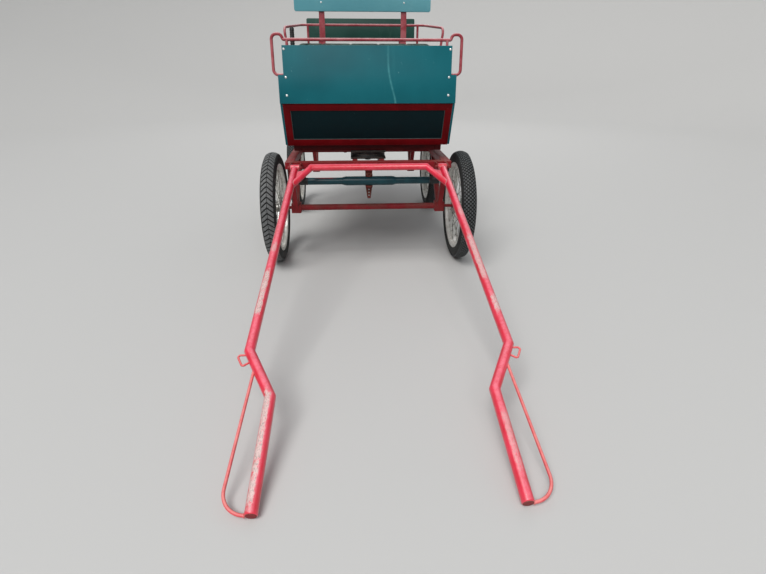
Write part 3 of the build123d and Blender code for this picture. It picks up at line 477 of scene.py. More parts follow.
def makeBoard(name):
    spec = shaded(boards[name])
    material, tree, shader, place = startMaterial(name, spec["rough"], spec["shine"])
    broad = ramp(tree, cloud(tree, place, 2.2, 3.0, 0.5), 0.32, 0.7)
    drawn = cloud(tree, stretched(tree, place, (26, 26, 2.2)), 1.0, 4.0, 0.6)
    streaks = ramp(tree, drawn, 0.58, 0.8, 0.0, spec["streaks"])
    wear = useGroup(tree, wornEdges, Width=0.003, Corners=0.75, Chips=0.12, Grain=80.0)
    dust = useGroup(tree, settledDust, Amount=spec["dust"], Reach=0.3, Grain=9.0)["Mask"]
    skin = useGroup(tree, paintSkin, Fine=420.0, Broad=30.0)
    colour = blend(tree, broad, spec["film"], spec["pale"])
    colour = blend(tree, streaks, colour, spec["streak"])
    if "run" in spec:
        colour = blend(tree, runMask(tree, place), colour, spec["run"])
    for mask in (times(tree, wear["Edge"], 0.55), wear["Mask"]):
        colour = blend(tree, mask, colour, spec["edge"])
    colour = blend(tree, dust, colour, boardDust)
    rough = scaled(tree, streaks, 0.3, scaled(tree, broad, 0.08, spec["rough"]))
    rough = scaled(tree, dust, 0.4, rough, clamp=True)
    finishMaterial(tree, shader, colour, rough, skin["Height"], 0.2, 0.0005)
    return material


# Bare metals: bright and dull tone, roughness, how metallic, grain and dust
metals = {
    "zinc": {"bright": (232, 234, 234), "dull": (196, 198, 196), "rough": 0.4, "metallic": 0.9,
             "grain": 90, "dust": 0.05},
    "rimSilver": {"bright": (240, 240, 236), "dull": (204, 202, 194), "rough": 0.26, "metallic": 0.4,
                  "grain": 26, "dust": 0.2},
    "hubAlloy": {"bright": (214, 214, 210), "dull": (156, 153, 146), "rough": 0.34, "metallic": 0.75,
                 "grain": 34, "dust": 0.25},
    "spokeSteel": {"bright": (142, 142, 138), "dull": (92, 88, 80), "rough": 0.34, "metallic": 0.9,
                   "grain": 120, "dust": 0.15},
}
metalDust = shade(150, 138, 118)


def makeMetal(name):
    spec = shaded(metals[name])
    material, tree, shader, place = startMaterial(name, spec["rough"], metallic=spec["metallic"])
    stain = ramp(tree, cloud(tree, place, spec["grain"], 5.0, 0.65), 0.36, 0.7)
    dust = useGroup(tree, settledDust, Amount=spec["dust"], Reach=0.7, Grain=22.0)["Mask"]
    colour = blend(tree, dust, blend(tree, stain, spec["bright"], spec["dull"]), metalDust)
    rough = scaled(tree, dust, 0.4, scaled(tree, stain, 0.2, spec["rough"]), clamp=True)
    finishMaterial(tree, shader, colour, rough, stain, 0.25, 0.0004)
    return material


# Rubber: black-grey with pale dust; a tyre's tread also has paler tops, partly dust and partly painted
# highlight
rubbers = {
    "tyreRubber": {"dark": (13, 14, 15), "grey": (34, 36, 37), "top": (116, 118, 119), "dusty": (112, 112, 106),
                   "rough": 0.6, "dust": 0.3},
    "darkTyreRubber": {"dark": (12, 13, 14), "grey": (30, 32, 33), "top": (100, 104, 106),
                       "dusty": (104, 104, 98), "rough": 0.6, "dust": 0.25},
    "softRubber": {"dark": (16, 16, 17), "grey": (36, 36, 37), "dusty": (86, 84, 80), "rough": 0.5,
                   "dust": 0.25},
    "sealRubber": {"dark": (34, 56, 56), "grey": (52, 76, 76), "dusty": (90, 104, 100), "rough": 0.5,
                   "dust": 0.1},
}


def makeRubber(name):
    spec = shaded(rubbers[name])
    material, tree, shader, place = startMaterial(name, spec["rough"], 0.45)
    mottle = ramp(tree, cloud(tree, place, 30.0, 6.0, 0.65), 0.3, 0.7)
    dust = useGroup(tree, settledDust, Amount=spec["dust"], Reach=0.45, Grain=20.0)["Mask"]
    colour = blend(tree, mottle, spec["dark"], spec["grey"])
    if "top" in spec:
        # paler tread tops: partly dust, partly a painted highlight on the raised blocks
        top = addNode(tree, "ShaderNodeAttribute", attribute_name="treadTop")["Fac"]
        topDustAndHighlight = ramp(tree, cloud(tree, place, 160.0, 4.0, 0.7), 0.25, 0.75, 0.25, 0.9)
        colour = blend(tree, times(tree, top, topDustAndHighlight), colour, spec["top"])
        rough = scaled(tree, maths(tree, "SUBTRACT", 1.0, top), 0.2, spec["rough"])
    else:
        rough = scaled(tree, mottle, 0.15, spec["rough"])
    colour = blend(tree, dust, colour, spec["dusty"])
    rough = scaled(tree, dust, 0.3, rough, clamp=True)
    finishMaterial(tree, shader, colour, rough, cloud(tree, place, 900.0, 3.0, 0.6), 0.3, 0.0005)
    return material


# Seat cloth: coated fabric with a leather-like grain
cloths = {"seatCloth": {"dark": (16, 44, 40), "creased": (44, 78, 70), "worn": (84, 110, 100),
                        "dusty": (140, 138, 124), "rough": 0.46, "shine": 0.4, "sheen": 0.12, "grain": 420}}


def makeCloth(name):
    spec = shaded(cloths[name])
    material, tree, shader, place = startMaterial(name, spec["rough"], spec["shine"])
    shader.inputs["Sheen Weight"].default_value = spec["sheen"]
    spots = {"Vector": place, "Scale": spec["grain"]}
    cells = addNode(tree, "ShaderNodeTexVoronoi", spots, feature="SMOOTH_F1")
    crease = ramp(tree, cloud(tree, place, 26.0, 5.0, 0.6), 0.4, 0.72)
    wear = useGroup(tree, wornEdges, Width=0.006, Corners=0.35, Chips=0.08, Grain=70.0)["Mask"]
    dust = useGroup(tree, settledDust, Amount=0.14, Reach=0.2, Grain=8.0)["Mask"]
    colour = blend(tree, crease, spec["dark"], spec["creased"])
    colour = blend(tree, times(tree, wear, 0.6), colour, spec["worn"])
    colour = blend(tree, dust, colour, spec["dusty"])
    height = scaled(tree, crease, 0.8, cells["Distance"])
    finishMaterial(tree, shader, colour, scaled(tree, crease, 0.14, spec["rough"]), height, 0.5, 0.0008)
    return material


finishes = {}
for makeFinish, table in ((makePaint, paints), (makeBoard, boards), (makeMetal, metals), (makeRubber, rubbers),
                          (makeCloth, cloths)):
    finishes.update({name: makeFinish(name) for name in table})
print("materials made")


# Mesh helpers
def closedMesh(name, bm):
    bmesh.ops.recalc_face_normals(bm, faces=bm.faces)
    return meshOf(name, bm)


def addPiece(name, mesh, finish, body, slot=None, standsFor=None, smoothAngle=40):
    # a finished piece that rides a body, and may stand for a CAD node
    mesh.materials.clear()
    mesh.materials.append(finishes[finish])
    mesh.shade_smooth()
    mesh.set_sharp_from_angle(angle=math.radians(smoothAngle))
    piece = addObject(name, mesh)
    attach(piece, body)
    if standsFor:
        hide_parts(standsFor)


def addSolid(name, bm, *details, **more):
    # the same for a piece that comes as a closed bmesh
    addPiece(name, closedMesh(name, bm), *details, **more)


def joinInto(target, source):
    # adds one bmesh to another and frees it
    scratch = meshOf("scratch", source)
    target.from_mesh(scratch)
    bpy.data.meshes.remove(scratch)


def roundEdges(bm, edges, width, segments):
    bmesh.ops.bevel(bm, geom=edges, offset=width, segments=segments, profile=0.5, affect="EDGES", material=-1,
                    clamp_overlap=True)


def along(place, way):
    # a frame at a place whose Z runs along way
    return Matrix.Translation(place) @ Vector(way).to_track_quat("Z", "Y").to_matrix().to_4x4()


def mirrored(half):
    # an outline of (X, radius) pairs followed by its mirror image
    return half + [(-x, radius) for x, radius in reversed(half)]


def joinPairs(bm, verts, closed):
    for pair in zip(verts, verts[1:] + (verts[:1] if closed else [])):
        bm.edges.new(pair)


def turned(outline, place=(0, 0, 0), way=(1, 0, 0), steps=32):
    # a form turned about way from pairs of (distance along it, radius); it ends on its axis, or is a ring
    bm = bmesh.new()
    verts = [bm.verts.new((radius, 0, height)) for height, radius in outline]
    joinPairs(bm, verts, min(radius for height, radius in outline) > 0)
    spinRound(bm, (0, 0, 1), steps)
    bmesh.ops.recalc_face_normals(bm, faces=bm.faces)
    bmesh.ops.transform(bm, matrix=along(Vector(place), way), verts=bm.verts)
    return bm


def arcThrough(start, middle, end, count):
    # points of the arc through three points of a plane, both ends included
    (ax, ay), (bx, by), (cx, cy) = start, middle, end
    divisor = 2 * (ax * (by - cy) + bx * (cy - ay) + cx * (ay - by))
    a2, b2, c2 = ax * ax + ay * ay, bx * bx + by * by, cx * cx + cy * cy
    ux = (a2 * (by - cy) + b2 * (cy - ay) + c2 * (ay - by)) / divisor
    uy = (a2 * (cx - bx) + b2 * (ax - cx) + c2 * (bx - ax)) / divisor
    radius = math.hypot(ax - ux, ay - uy)
    first = math.atan2(ay - uy, ax - ux)
    passed = (math.atan2(by - uy, bx - ux) - first) % math.tau
    sweep = (math.atan2(cy - uy, cx - ux) - first) % math.tau
    if passed > sweep:
        sweep -= math.tau
    angles = [first + sweep * step / count for step in range(count + 1)]
    return [(ux + radius * math.cos(angle), uy + radius * math.sin(angle)) for angle in angles]


def stationsAlong(route, bends, step=math.radians(8)):
    # places and directions along a bent tube, one bend radius for each inner point
    spots = [(route[0], (route[1] - route[0]).normalized())]
    for index, bend in enumerate(bends, 1):
        point = route[index]
        before = (point - route[index - 1]).normalized()
        after = (route[index + 1] - point).normalized()
        turn = before.angle(after)
        axis = before.cross(after).normalized()
        start = point - before * (bend * math.tan(turn / 2))
        centre = start + axis.cross(before) * bend
        count = max(2, math.ceil(turn / step))
        for part in range(count + 1):
            spin = Matrix.Rotation(turn * part / count, 3, axis)
            spots.append((centre + spin @ (start - centre), spin @ before))
    spots.append((route[-1], (route[-1] - route[-2]).normalized()))
    return spots


def circleEdges(bm, matrix, radius, sides):
    made = bmesh.ops.create_circle(bm, cap_ends=False, radius=radius, segments=sides, matrix=matrix)
    return list({edge for vert in made["verts"] for edge in vert.link_edges})


def growRing(bm, ring):
    # draws a ring of edges out once, and gives the new vertices and the new ring
    grown = bmesh.ops.extrude_edge_only(bm, edges=ring)["geom"]
    verts = [item for item in grown if isinstance(item, bmesh.types.BMVert)]
    fresh = set(verts)
    return verts, [item for item in grown if isinstance(item, bmesh.types.BMEdge) and set(item.verts) <= fresh]


def closeEnds(bm, ends):
    for end in ends:
        bmesh.ops.contextual_create(bm, geom=end)
    bmesh.ops.recalc_face_normals(bm, faces=bm.faces)


def tube(route, radius, bends=(), sides=24, rounding=0.001):
    # a round bar along a route, closed and rounded at its ends
    bm = bmesh.new()
    spots = stationsAlong([Vector(point) for point in route], bends)
    place, way = spots[0]
    first = ring = circleEdges(bm, along(place, way), radius, sides)
    for nextPlace, nextWay in spots[1:]:
        verts, ring = growRing(bm, ring)
        turn = way.rotation_difference(nextWay).to_matrix().to_4x4()
        move = Matrix.Translation(nextPlace) @ turn @ Matrix.Translation(-place)
        bmesh.ops.transform(bm, matrix=move, verts=verts)
        place, way = nextPlace, nextWay
    closeEnds(bm, (first, ring))
    roundEdges(bm, first + ring, rounding, 3)
    return bm


def mitredTube(route, radius, sides, softness):
    # a round tube cut and welded at its corners, whose joints are dressed to a small radius
    bm = bmesh.new()
    ways = [(after - before).normalized() for before, after in zip(route, route[1:])]
    first = ring = circleEdges(bm, along(route[0], ways[0]), radius, sides)
    joints = []
    for way, nextWay, corner in zip(ways, ways[1:] + [None], route[1:]):
        cut = (way + nextWay).normalized() if nextWay else way
        verts, ring = growRing(bm, ring)
        for vert in verts:
            vert.co += way * ((corner - vert.co).dot(cut) / way.dot(cut))
        if nextWay:
            joints += ring
    closeEnds(bm, (first, ring))
    roundEdges(bm, joints + first + ring, softness, 4)
    return bm


weld = {"steps": 4, "ripple": 0.28, "wave": 2.4}


def weldBead(centre, way, radius, thickness, lumps=40):
    # the ripple of a weld round a tube
    way = way.normalized()
    foot = radius - thickness / 2
    bm = turned(arcThrough((-thickness, foot), (0, radius + thickness), (thickness, foot), weld["steps"]),
                centre, way, lumps * 2)
    for vert in bm.verts:
        out = vert.co - centre
        out -= way * out.dot(way)
        vert.co += out.normalized() * thickness * weld["ripple"] * math.sin(vert.index * weld["wave"])
    return bm


softened = {"merge": 2e-6, "flat": 0.6, "sharp": 40, "segments": 2, "smoothAngle": 30}


def softenedCopy(node, finish, width, slot):
    # a merged copy of a CAD solid with its sharp edges rounded; it stands for that solid
    bm = bmesh.new()
    bm.from_mesh(nodes[node].data)
    bmesh.ops.remove_doubles(bm, verts=bm.verts, dist=softened["merge"])
    bmesh.ops.dissolve_limit(bm, angle_limit=math.radians(softened["flat"]), use_dissolve_boundaries=False,
                             verts=bm.verts, edges=bm.edges, delimit=set())
    sharp = [edge for edge in bm.edges
             if edge.is_manifold and edge.calc_face_angle(0) > math.radians(softened["sharp"])]
    roundEdges(bm, sharp, width, softened["segments"])
    addSolid(node + "Finished", bm, finish, nodes[node]["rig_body"], slot, node, softened["smoothAngle"])


# Bolts: a low round head seated on a face
boltShape = {"head": 0.0062, "rise": 0.003, "rootRise": 0.0006, "sunk": 0.002, "steps": 16, "domeRise": 0.72,
             "domeHead": 0.68}


def boltSet(name, body, places):
    # places are (place, way) pairs
    head, rise, sunk = boltShape["head"], boltShape["rise"], boltShape["sunk"]
    crown = (rise * boltShape["domeRise"], head * boltShape["domeHead"])
    dome = arcThrough((boltShape["rootRise"], head), crown, (rise, 0), 5)
    outline = [(-sunk, 0), (-sunk, head)] + dome[:-1] + [(rise, 0)]
    bm = bmesh.new()
    for place, way in places:
        joinInto(bm, turned(outline, place, way, boltShape["steps"]))
    addSolid(name, bm, "zinc", body, smoothAngle=35)


print("helpers ready")


# Wheels, made with the axle along X and their outer side towards +X
wheel = {"spokes": 36, "spokeRadius": 0.0016, "lace": 60, "laceSpread": 0.62, "rimSpread": 0.004,
         "flangeHole": 0.049, "flangeGap": 0.060, "flangeThickness": 0.007, "rimSteps": 120}
# Nipple outline as shares of its length and radius; spoke head as (distance, share of the spoke's radius)
nipple = {"length": 0.013, "radius": 0.003, "sunk": 0.001,
          "outline": [(0, 0), (0, 0.75), (0.7, 1), (1, 1.3), (1, 0)]}
spokeHead = [(-0.009, 0), (-0.009, 1.1), (0.0012, 1.1), (0.0024, 1.9), (0.0036, 1.3), (0.0038, 0)]
rimShape = {"half": 0.037, "top": 0.2755, "seat": 0.2585, "well": 0.2485, "wellHalf": 0.014, "wall": 0.004,
            "curl": 0.0022, "brow": 0.001, "turnIn": 0.0025, "wellOut": 0.003, "wellStep": 0.001,
            "wellDrop": 0.002}
tyreShape = {"crown": 0.345, "shoulder": 0.333, "shoulderX": 0.036, "treadDepth": 0.0075, "bulge": 0.0449,
             "bulgeRadius": 0.309, "bead": 0.0335, "beadRadius": 0.277, "seat": 0.2592, "shoulderOut": 0.0012,
             "beadOut": 0.002, "blockEdge": 0.0009}
# Tread columns are |x| spans of the raised blocks; stagger shifts a column by half a pitch. The blocks take
# blockShare of the pitch
treads = {
    "chevron": {"pitches": 70, "skew": 2.45, "blockShare": 0.69,
                "columns": [(0.0012, 0.0172, 0), (0.0172, 0.0345, 0)]},
    "blocks": {"pitches": 96, "skew": 0.0, "blockShare": 0.5,
               "columns": [(0.0, 0.0042, 0), (0.0078, 0.0158, 1), (0.0192, 0.0262, 0), (0.0292, 0.0348, 1)]},
}


def crownRadius(x):
    # outer radius of the tread over its width, a shallow arc from shoulder to shoulder
    sag = tyreShape["crown"] - tyreShape["shoulder"]
    curve = (tyreShape["shoulderX"] ** 2 + sag ** 2) / (2 * sag)
    return tyreShape["crown"] - curve + math.sqrt(max(curve ** 2 - x * x, 0))


def spunOutline(outline, steps):
    # a closed outline of (X, radius) pairs spun round the axle
    bm = bmesh.new()
    joinPairs(bm, [bm.verts.new((x, 0, radius)) for x, radius in outline], True)
    spinRound(bm, (1, 0, 0), steps)
    return bm


def tyreOutline(spec):
    shape, depth = tyreShape, tyreShape["treadDepth"]
    edges = sorted({round(value, 5) for low, high, stagger in spec["columns"] for value in (low, high)})
    side = arcThrough((shape["shoulderX"] + shape["shoulderOut"], shape["shoulder"] - depth),
                      (shape["bulge"], shape["bulgeRadius"]),
                      (shape["bead"] + shape["beadOut"], shape["beadRadius"]), 9)
    half = [(x, crownRadius(x) - depth) for x in edges if x > 0] + side + [(shape["bead"], shape["seat"])]
    middle = [] if min(edges) > 0 else [(0.0, crownRadius(0) - depth)]
    return [(-x, radius) for x, radius in reversed(half)] + middle + half


def makeTyre(design):
    spec, depth = treads[design], tyreShape["treadDepth"]
    halfPitch = math.tau / spec["pitches"] / 2
    bm = spunOutline(tyreOutline(spec), spec["pitches"] * 2)
    bmesh.ops.recalc_face_normals(bm, faces=bm.faces)
    blocks = []
    for face in bm.faces:
        centre = face.calc_center_median()
        row = int((math.atan2(centre.y, centre.z) % math.tau) / halfPitch)
        outer = math.hypot(centre.y, centre.z) > crownRadius(centre.x) - 2 * depth
        for low, high, stagger in spec["columns"]:
            if outer and low <= abs(centre.x) <= high and (row + stagger) % 2 == 0:
                blocks.append(face)
    # rings between the rows move so that the blocks take their share of the pitch
    for vert in bm.verts:
        row = round((math.atan2(vert.co.y, vert.co.z) % math.tau) / halfPitch)
        shift = (spec["blockShare"] - 0.5) * halfPitch * (1 if row % 2 else -1)
        vert.co = Matrix.Rotation(-shift, 3, "X") @ vert.co
    grown = bmesh.ops.extrude_face_region(bm, geom=blocks)["geom"]
    tops = [item for item in grown if isinstance(item, bmesh.types.BMFace)]
    for vert in {vert for face in tops for vert in face.verts}:
        radius = math.hypot(vert.co.y, vert.co.z)
        scale = (radius + depth) / radius
        vert.co = Vector((vert.co.x, vert.co.y * scale, vert.co.z * scale))
    lips = {edge for face in tops for edge in face.edges
            if sum(other in tops for other in edge.link_faces) == 1}
    roundEdges(bm, list(lips), tyreShape["blockEdge"], 1)
    for vert in bm.verts:
        turn = spec["skew"] * min(abs(vert.co.x), tyreShape["shoulderX"])
        vert.co = Matrix.Rotation(turn, 3, "X") @ vert.co
    mesh = meshOf("tyre_" + design, bm)
    heights = mesh.attributes.new("treadTop", "FLOAT", "POINT")
    for index, vert in enumerate(mesh.vertices):
        x, radius = vert.co.x, math.hypot(vert.co.y, vert.co.z)
        rise = (radius - crownRadius(x) + depth) / depth
        onTread = abs(x) < tyreShape["shoulderX"] and radius > tyreShape["bulgeRadius"]
        heights.data[index].value = min(max(rise, 0), 1) if onTread else 0
    return mesh


def makeRim():
    half, seat, well, wellHalf = rimShape["half"], rimShape["seat"], rimShape["well"], rimShape["wellHalf"]
    wall, under, inside = rimShape["wall"], seat - rimShape["wall"], half - rimShape["wall"]
    shoulder = rimShape["top"] - rimShape["curl"]
    foot = wellHalf - (seat - well) / 3
    outline = [(foot, well), (wellHalf, seat), (inside, seat)]
    outline += arcThrough((inside, shoulder), (half - wall / 2, rimShape["top"]), (half, shoulder), 6)
    outline += [(half, seat + rimShape["brow"]), (half - rimShape["turnIn"], under),
                (wellHalf + rimShape["wellOut"], under),
                (wellHalf + rimShape["wellStep"], under - rimShape["wellDrop"]), (foot, well - wall)]
    return spunOutline(mirrored(outline), wheel["rimSteps"])


def ringPoint(x, radius, angle):
    return Vector((x, radius * math.cos(angle), radius * math.sin(angle)))


def makeSpokes():
    bm = bmesh.new()
    radius = wheel["spokeRadius"]
    nut = [(nipple["length"] * part, nipple["radius"] * share) for part, share in nipple["outline"]]
    head = [(x, radius * share) for x, share in spokeHead]
    for number in range(wheel["spokes"]):
        # sides alternate, and pairs of spokes lean forward and back
        side = 1 if number % 2 else -1
        lean = 1 if (number // 2) % 2 else -1
        rimAngle = number * math.tau / wheel["spokes"]
        hubAngle = rimAngle + lean * math.radians(wheel["lace"])
        hubX = side * (wheel["flangeGap"] / 2 + lean * wheel["flangeThickness"] * wheel["laceSpread"])
        start = ringPoint(hubX, wheel["flangeHole"], hubAngle)
        end = ringPoint(side * wheel["rimSpread"] * (2 + lean), rimShape["well"] - rimShape["wall"], rimAngle)
        way = (end - start).normalized()
        reach = (end - start).length
        joinInto(bm, turned([(0, 0), (0, radius), (reach, radius), (reach, 0)], start, way, 8))
        joinInto(bm, turned(nut, end - way * (nipple["length"] - nipple["sunk"]), way, 10))
        joinInto(bm, turned(head, start, (side * lean, 0, 0), 8))
    return bm


# Hub outlines as (X, radius): left half of the body up to its waist, then the rings at its outer and inner side
hub = {"body": [(-0.038, 0.0101), (-0.038, 0.018), (-0.036, 0.020), (-0.0355, 0.0215), (-0.0335, 0.027),
                (-0.0335, 0.055), (-0.0325, 0.056), (-0.0275, 0.056), (-0.0265, 0.055), (-0.0265, 0.034)],
       "waist": [(-0.0265, 0.034), (-0.0215, 0.0272), (-0.0135, 0.024)], "barrel": 0.024, "ribs": 5,
       "ribPitch": 0.006, "ribHalf": 0.001, "ribRise": 0.0035, "ribSunk": 0.002,
       "rings": [[(0.0385, 0.0102), (0.0385, 0.0195), (0.0402, 0.0195), (0.0405, 0.0102)],
                 [(-0.0388, 0.0102), (-0.0388, 0.0175), (-0.0402, 0.017), (-0.0402, 0.0102)]]}


def makeHub():
    bm = turned(mirrored(hub["body"] + arcThrough(*hub["waist"], 5)[1:]), steps=64)
    low, high, half = hub["barrel"] - hub["ribSunk"], hub["barrel"] + hub["ribRise"], hub["ribHalf"]
    for rib in range(hub["ribs"]):
        x = (rib - hub["ribs"] // 2) * hub["ribPitch"]
        joinInto(bm, turned([(x - half, low), (x - half, high), (x + half, high), (x + half, low)], steps=48))
    return bm


def makeHubRings():
    bm = bmesh.new()
    for outline in hub["rings"]:
        joinInto(bm, turned(outline, steps=40))
    return bm


# Valve outline as (distance along the stem, share of its radius)
valve = {"angle": 0.13, "radius": 0.004, "lift": 0.0005,
         "outline": [(0, 0), (0, 1.6), (0.002, 1.6), (0.003, 1), (0.02232, 1), (0.02304, 1.3), (0.036, 1.2),
                     (0.036, 0)]}


def makeValve():
    way = Vector((0, -math.sin(valve["angle"]), -math.cos(valve["angle"])))
    outline = [(x, valve["radius"] * share) for x, share in valve["outline"]]
    return turned(outline, -way * (rimShape["well"] - rimShape["wall"] - valve["lift"]), way, 14)


def wheelPiece(name, template, finish, slot, standsFor, smoothAngle, wheelName, turn):
    # a copy of a wheel mesh at its wheel, mirrored on the left so that its outer side faces out
    mesh = template.copy()
    outward = 1 if wheelCentre[wheelName].x > 0 else -1
    place = Matrix.Translation(wheelCentre[wheelName]) @ Matrix.Rotation(turn, 4, "X")
    mesh.transform(place @ Matrix.Diagonal((outward, 1, 1, 1)))
    if outward < 0:
        mesh.flip_normals()
    addPiece(f"{wheelName}_{name}", mesh, finish, wheelName + "_wheel", slot,
             standsFor and f"{wheelName}_{standsFor}", smoothAngle)


tyreMeshes = {design: makeTyre(design) for design in treads}
# Piece, mesh, finish, slot, CAD piece it stands for and smooth angle
wheelParts = [
    ("rimBand", closedMesh("rim", makeRim()), "rimSilver", "rim", "rim", 35),
    ("spokes", closedMesh("spokes", makeSpokes()), "spokeSteel", "hub", "hub", 50),
    ("hubBody", closedMesh("hub", makeHub()), "hubAlloy", "hub", "hub", 35),
    ("hubRings", closedMesh("hubRings", makeHubRings()), "blackPaint", "black_iron", None, 35),
    ("valve", closedMesh("valve", makeValve()), "softRubber", "rubber", None, 35),
]
# Each wheel's tread, rubber and turn
wheelLooks = {"front_left": ("chevron", "tyreRubber", 0.02), "front_right": ("blocks", "darkTyreRubber", 0.31),
              "rear_left": ("blocks", "darkTyreRubber", 0.87), "rear_right": ("blocks", "darkTyreRubber", 1.44)}
for wheelName, (design, rubber, turn) in wheelLooks.items():
    for row in [("tyreTread", tyreMeshes[design], rubber, "tyre", "tyre", 28)] + wheelParts:
        wheelPiece(*row, wheelName, turn)
print("wheels made")


# Frame pieces that keep their CAD form, with rounded edges: finish, edge radius in metres, slot and nodes
plainPieces = [
    ("framePaint", 0.0025, "frame_red", "fore_frame"),
    ("framePaint", 0.003, "frame_red", "front_axle", "rear_axle"),
    ("chassisPaint", 0.003, "frame_red", "chassis_frame", "chassis_cross_members"),
    ("nosePaint", 0.0012, "frame_red", "toe_frame"),
    ("blackPaint", 0.0015, "black_iron", "turntable_lower", "turntable_upper"),
    ("rustyStrap", 0.0015, "frame_red", "tree_hanger"), ("shaftPaint", 0.0015, "shaft_red", "shaft_cross_tube"),
    ("dashBoard", 0.0014, "green_panel", "dash"), ("toeBoardFilm", 0.001, "dark_panel", "toe_board"),
    ("tealBoard", 0.0014, "green_panel", "side_panel_left", "side_panel_right", "rear_side_panel_left",
     "rear_side_panel_right", "tail_panel"),
    ("floorBoard", 0.001, "dark_panel", "floor"),
    ("tealBoard", 0.0014, "green_panel", "driver_seat_box", "rear_seat_box"),
    ("backBoard", 0.0016, "green_panel", "driver_backrest"),
    ("darkBoard", 0.0016, "dark_panel", "rear_backrest"),
    ("railPaint", 0.0012, "frame_red", "driver_back_bars", "rear_back_bars"),
    ("blackPaint", 0.0012, "black_iron", "brake_lever"), ("framePaint", 0.0012, "frame_red", "rear_step"),
    ("railPaint", 0.0008, "frame_red", "seat_rail"),
]
for finish, width, slot, *group in plainPieces:
    for node in group:
        softenedCopy(node, finish, width, slot)
print("frame pieces finished")


# Dash rail, bent into a round loop at each end that serves as a handle
dashRail = {"radius": 0.008, "half": 0.446, "neck": 0.456, "outer": 0.5055, "foot": 0.4125, "rise": 0.026,
            "footLift": 0.040, "footShift": 0.0044, "bends": [0.026, 0.026, 0.022, 0.007], "post": 0.427,
            "postRadius": 0.0072, "postLean": 0.11, "bead": 0.0016}


def makeDashRail():
    low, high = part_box("dash_rail")
    r, postRadius = dashRail["radius"], dashRail["postRadius"]
    top, back, front = high.z - r, high.y - r, low.y + r
    footZ, footY, barZ = low.z + dashRail["footLift"], front + dashRail["footShift"], top - dashRail["rise"]
    half = [(dashRail["foot"], footY, footZ), (dashRail["outer"], footY, footZ), (dashRail["outer"], back, top),
            (dashRail["neck"], back, top), (dashRail["half"], back, barZ)]
    route = [(-x, y, z) for x, y, z in half] + half[::-1]
    bm = tube(route, r, dashRail["bends"] + dashRail["bends"][::-1], 20)
    for x in (-dashRail["post"], dashRail["post"]):
        joinInto(bm, tube([(x, front, low.z), (x, back, barZ)], postRadius, sides=16))
        joinInto(bm, weldBead(Vector((x, back, barZ - r)), Vector((0, dashRail["postLean"], 1)), postRadius,
                              dashRail["bead"], 18))
    addSolid("dash_rail_loops", bm, "railPaint", "carriage", "frame_red", "dash_rail")


makeDashRail()
print("dash rail made")


# Thin seal between the toe board and the sides and bottom of its frame
seal = {"halfWidth": 0.4305, "bar": 0.0395, "height": 0.253, "depth": 0.0038, "radius": 0.0019, "bend": 0.004,
        "end": 0.0008, "lean": 0.096, "rise": 0.234}


def makeSeal():
    low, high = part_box("toe_frame")
    up = Vector((0, -seal["lean"], seal["rise"])).normalized()
    foot = Vector((0, low.y + seal["lean"], low.z)) + Vector((0, up.z, -up.y)) * seal["depth"]
    side = Vector((seal["halfWidth"], 0, 0))
    bottom, top = foot + up * seal["bar"], foot + up * (seal["height"] - seal["bar"])
    bm = tube([top - side, bottom - side, bottom + side, top + side], seal["radius"], [seal["bend"]] * 2, 12,
              seal["end"])
    addSolid("toe_board_seal", bm, "sealRubber", "carriage", "rubber", smoothAngle=50)


makeSeal()
print("seal made")


# Shafts: long run, outward elbow, inward bend and tip, with guards and trace hooks
shaft = {"hingeX": 0.421, "hinge": (-0.272, 0.652), "elbowX": 0.4935, "elbow": (-1.481, 0.212), "bendX": 0.395,
         "bend": (-1.667, 0.143), "tipX": 0.404, "tipY": -2.045, "radius": 0.020, "sides": 36, "dressed": 0.005,
         "eyeRadius": 0.017, "eyeHalf": 0.0245, "eyeBore": 0.0081, "eyeEdge": 0.001, "rootGap": 0.012,
         "beadGap": 0.005, "bead": 0.0026, "lift": 0.0003,
         "plug": [(-0.002, 0), (-0.002, 0.0172), (0.0012, 0.0168), (0.0016, 0.0150), (0.0016, 0)]}
guard = {"radius": 0.0055, "offset": 0.098, "turn": 0.074, "fromTip": 0.007, "fromElbow": 0.3, "lift": 0.0003,
         "end": 0.002, "bead": 0.0022, "beadGap": 0.001}
traceHook = {"radius": 0.0041, "reach": 0.032, "root": 0.020, "length": 0.056, "mouth": 0.002, "bend": 0.017,
             "bends": (0.009, 0.008), "end": 0.0015}


def shaftPoints(side):
    bend = fromAxle(side * shaft["bendX"], *shaft["bend"])
    level = math.hypot(shaft["tipY"] - shaft["bend"][0], shaft["tipX"] - shaft["bendX"])
    slope = math.atan2(bend.z - shaft["radius"], level)
    tip = fromAxle(side * shaft["tipX"], shaft["tipY"], shaft["radius"] * math.cos(slope) + shaft["lift"])
    hinge = fromAxle(side * shaft["hingeX"], *shaft["hinge"])
    elbow = fromAxle(side * shaft["elbowX"], *shaft["elbow"])
    return hinge, elbow, bend, tip


def addShaftPiece(name, bm, finish, standsFor=None, smoothAngle=40):
    addSolid(name, bm, finish, "shafts", "shaft_red", standsFor, smoothAngle)


def makeShaft(side, name):
    hinge, elbow, bend, tip = shaftPoints(side)
    way = (elbow - hinge).normalized()
    half, eye, bore, edge = shaft["eyeHalf"], shaft["eyeRadius"], shaft["eyeBore"], shaft["eyeEdge"]
    bm = mitredTube([hinge + way * shaft["rootGap"], elbow, bend, tip], shaft["radius"], shaft["sides"],
                    shaft["dressed"])
    joinInto(bm, turned([(-half, bore), (-half, eye - edge), (-half + edge, eye), (half - edge, eye),
                         (half, eye - edge), (half, bore)], hinge, steps=36))
    joinInto(bm, weldBead(hinge + way * (eye + shaft["beadGap"]), way, shaft["radius"], shaft["bead"]))
    addShaftPiece(f"shaft_{name}_tube", bm, "shaftPaint", f"shaft_{name}")
    # closed end, a plate let into the tube
    addShaftPiece(f"shaft_{name}_end", turned(shaft["plug"], tip, tip - bend), "framePaint", smoothAngle=35)


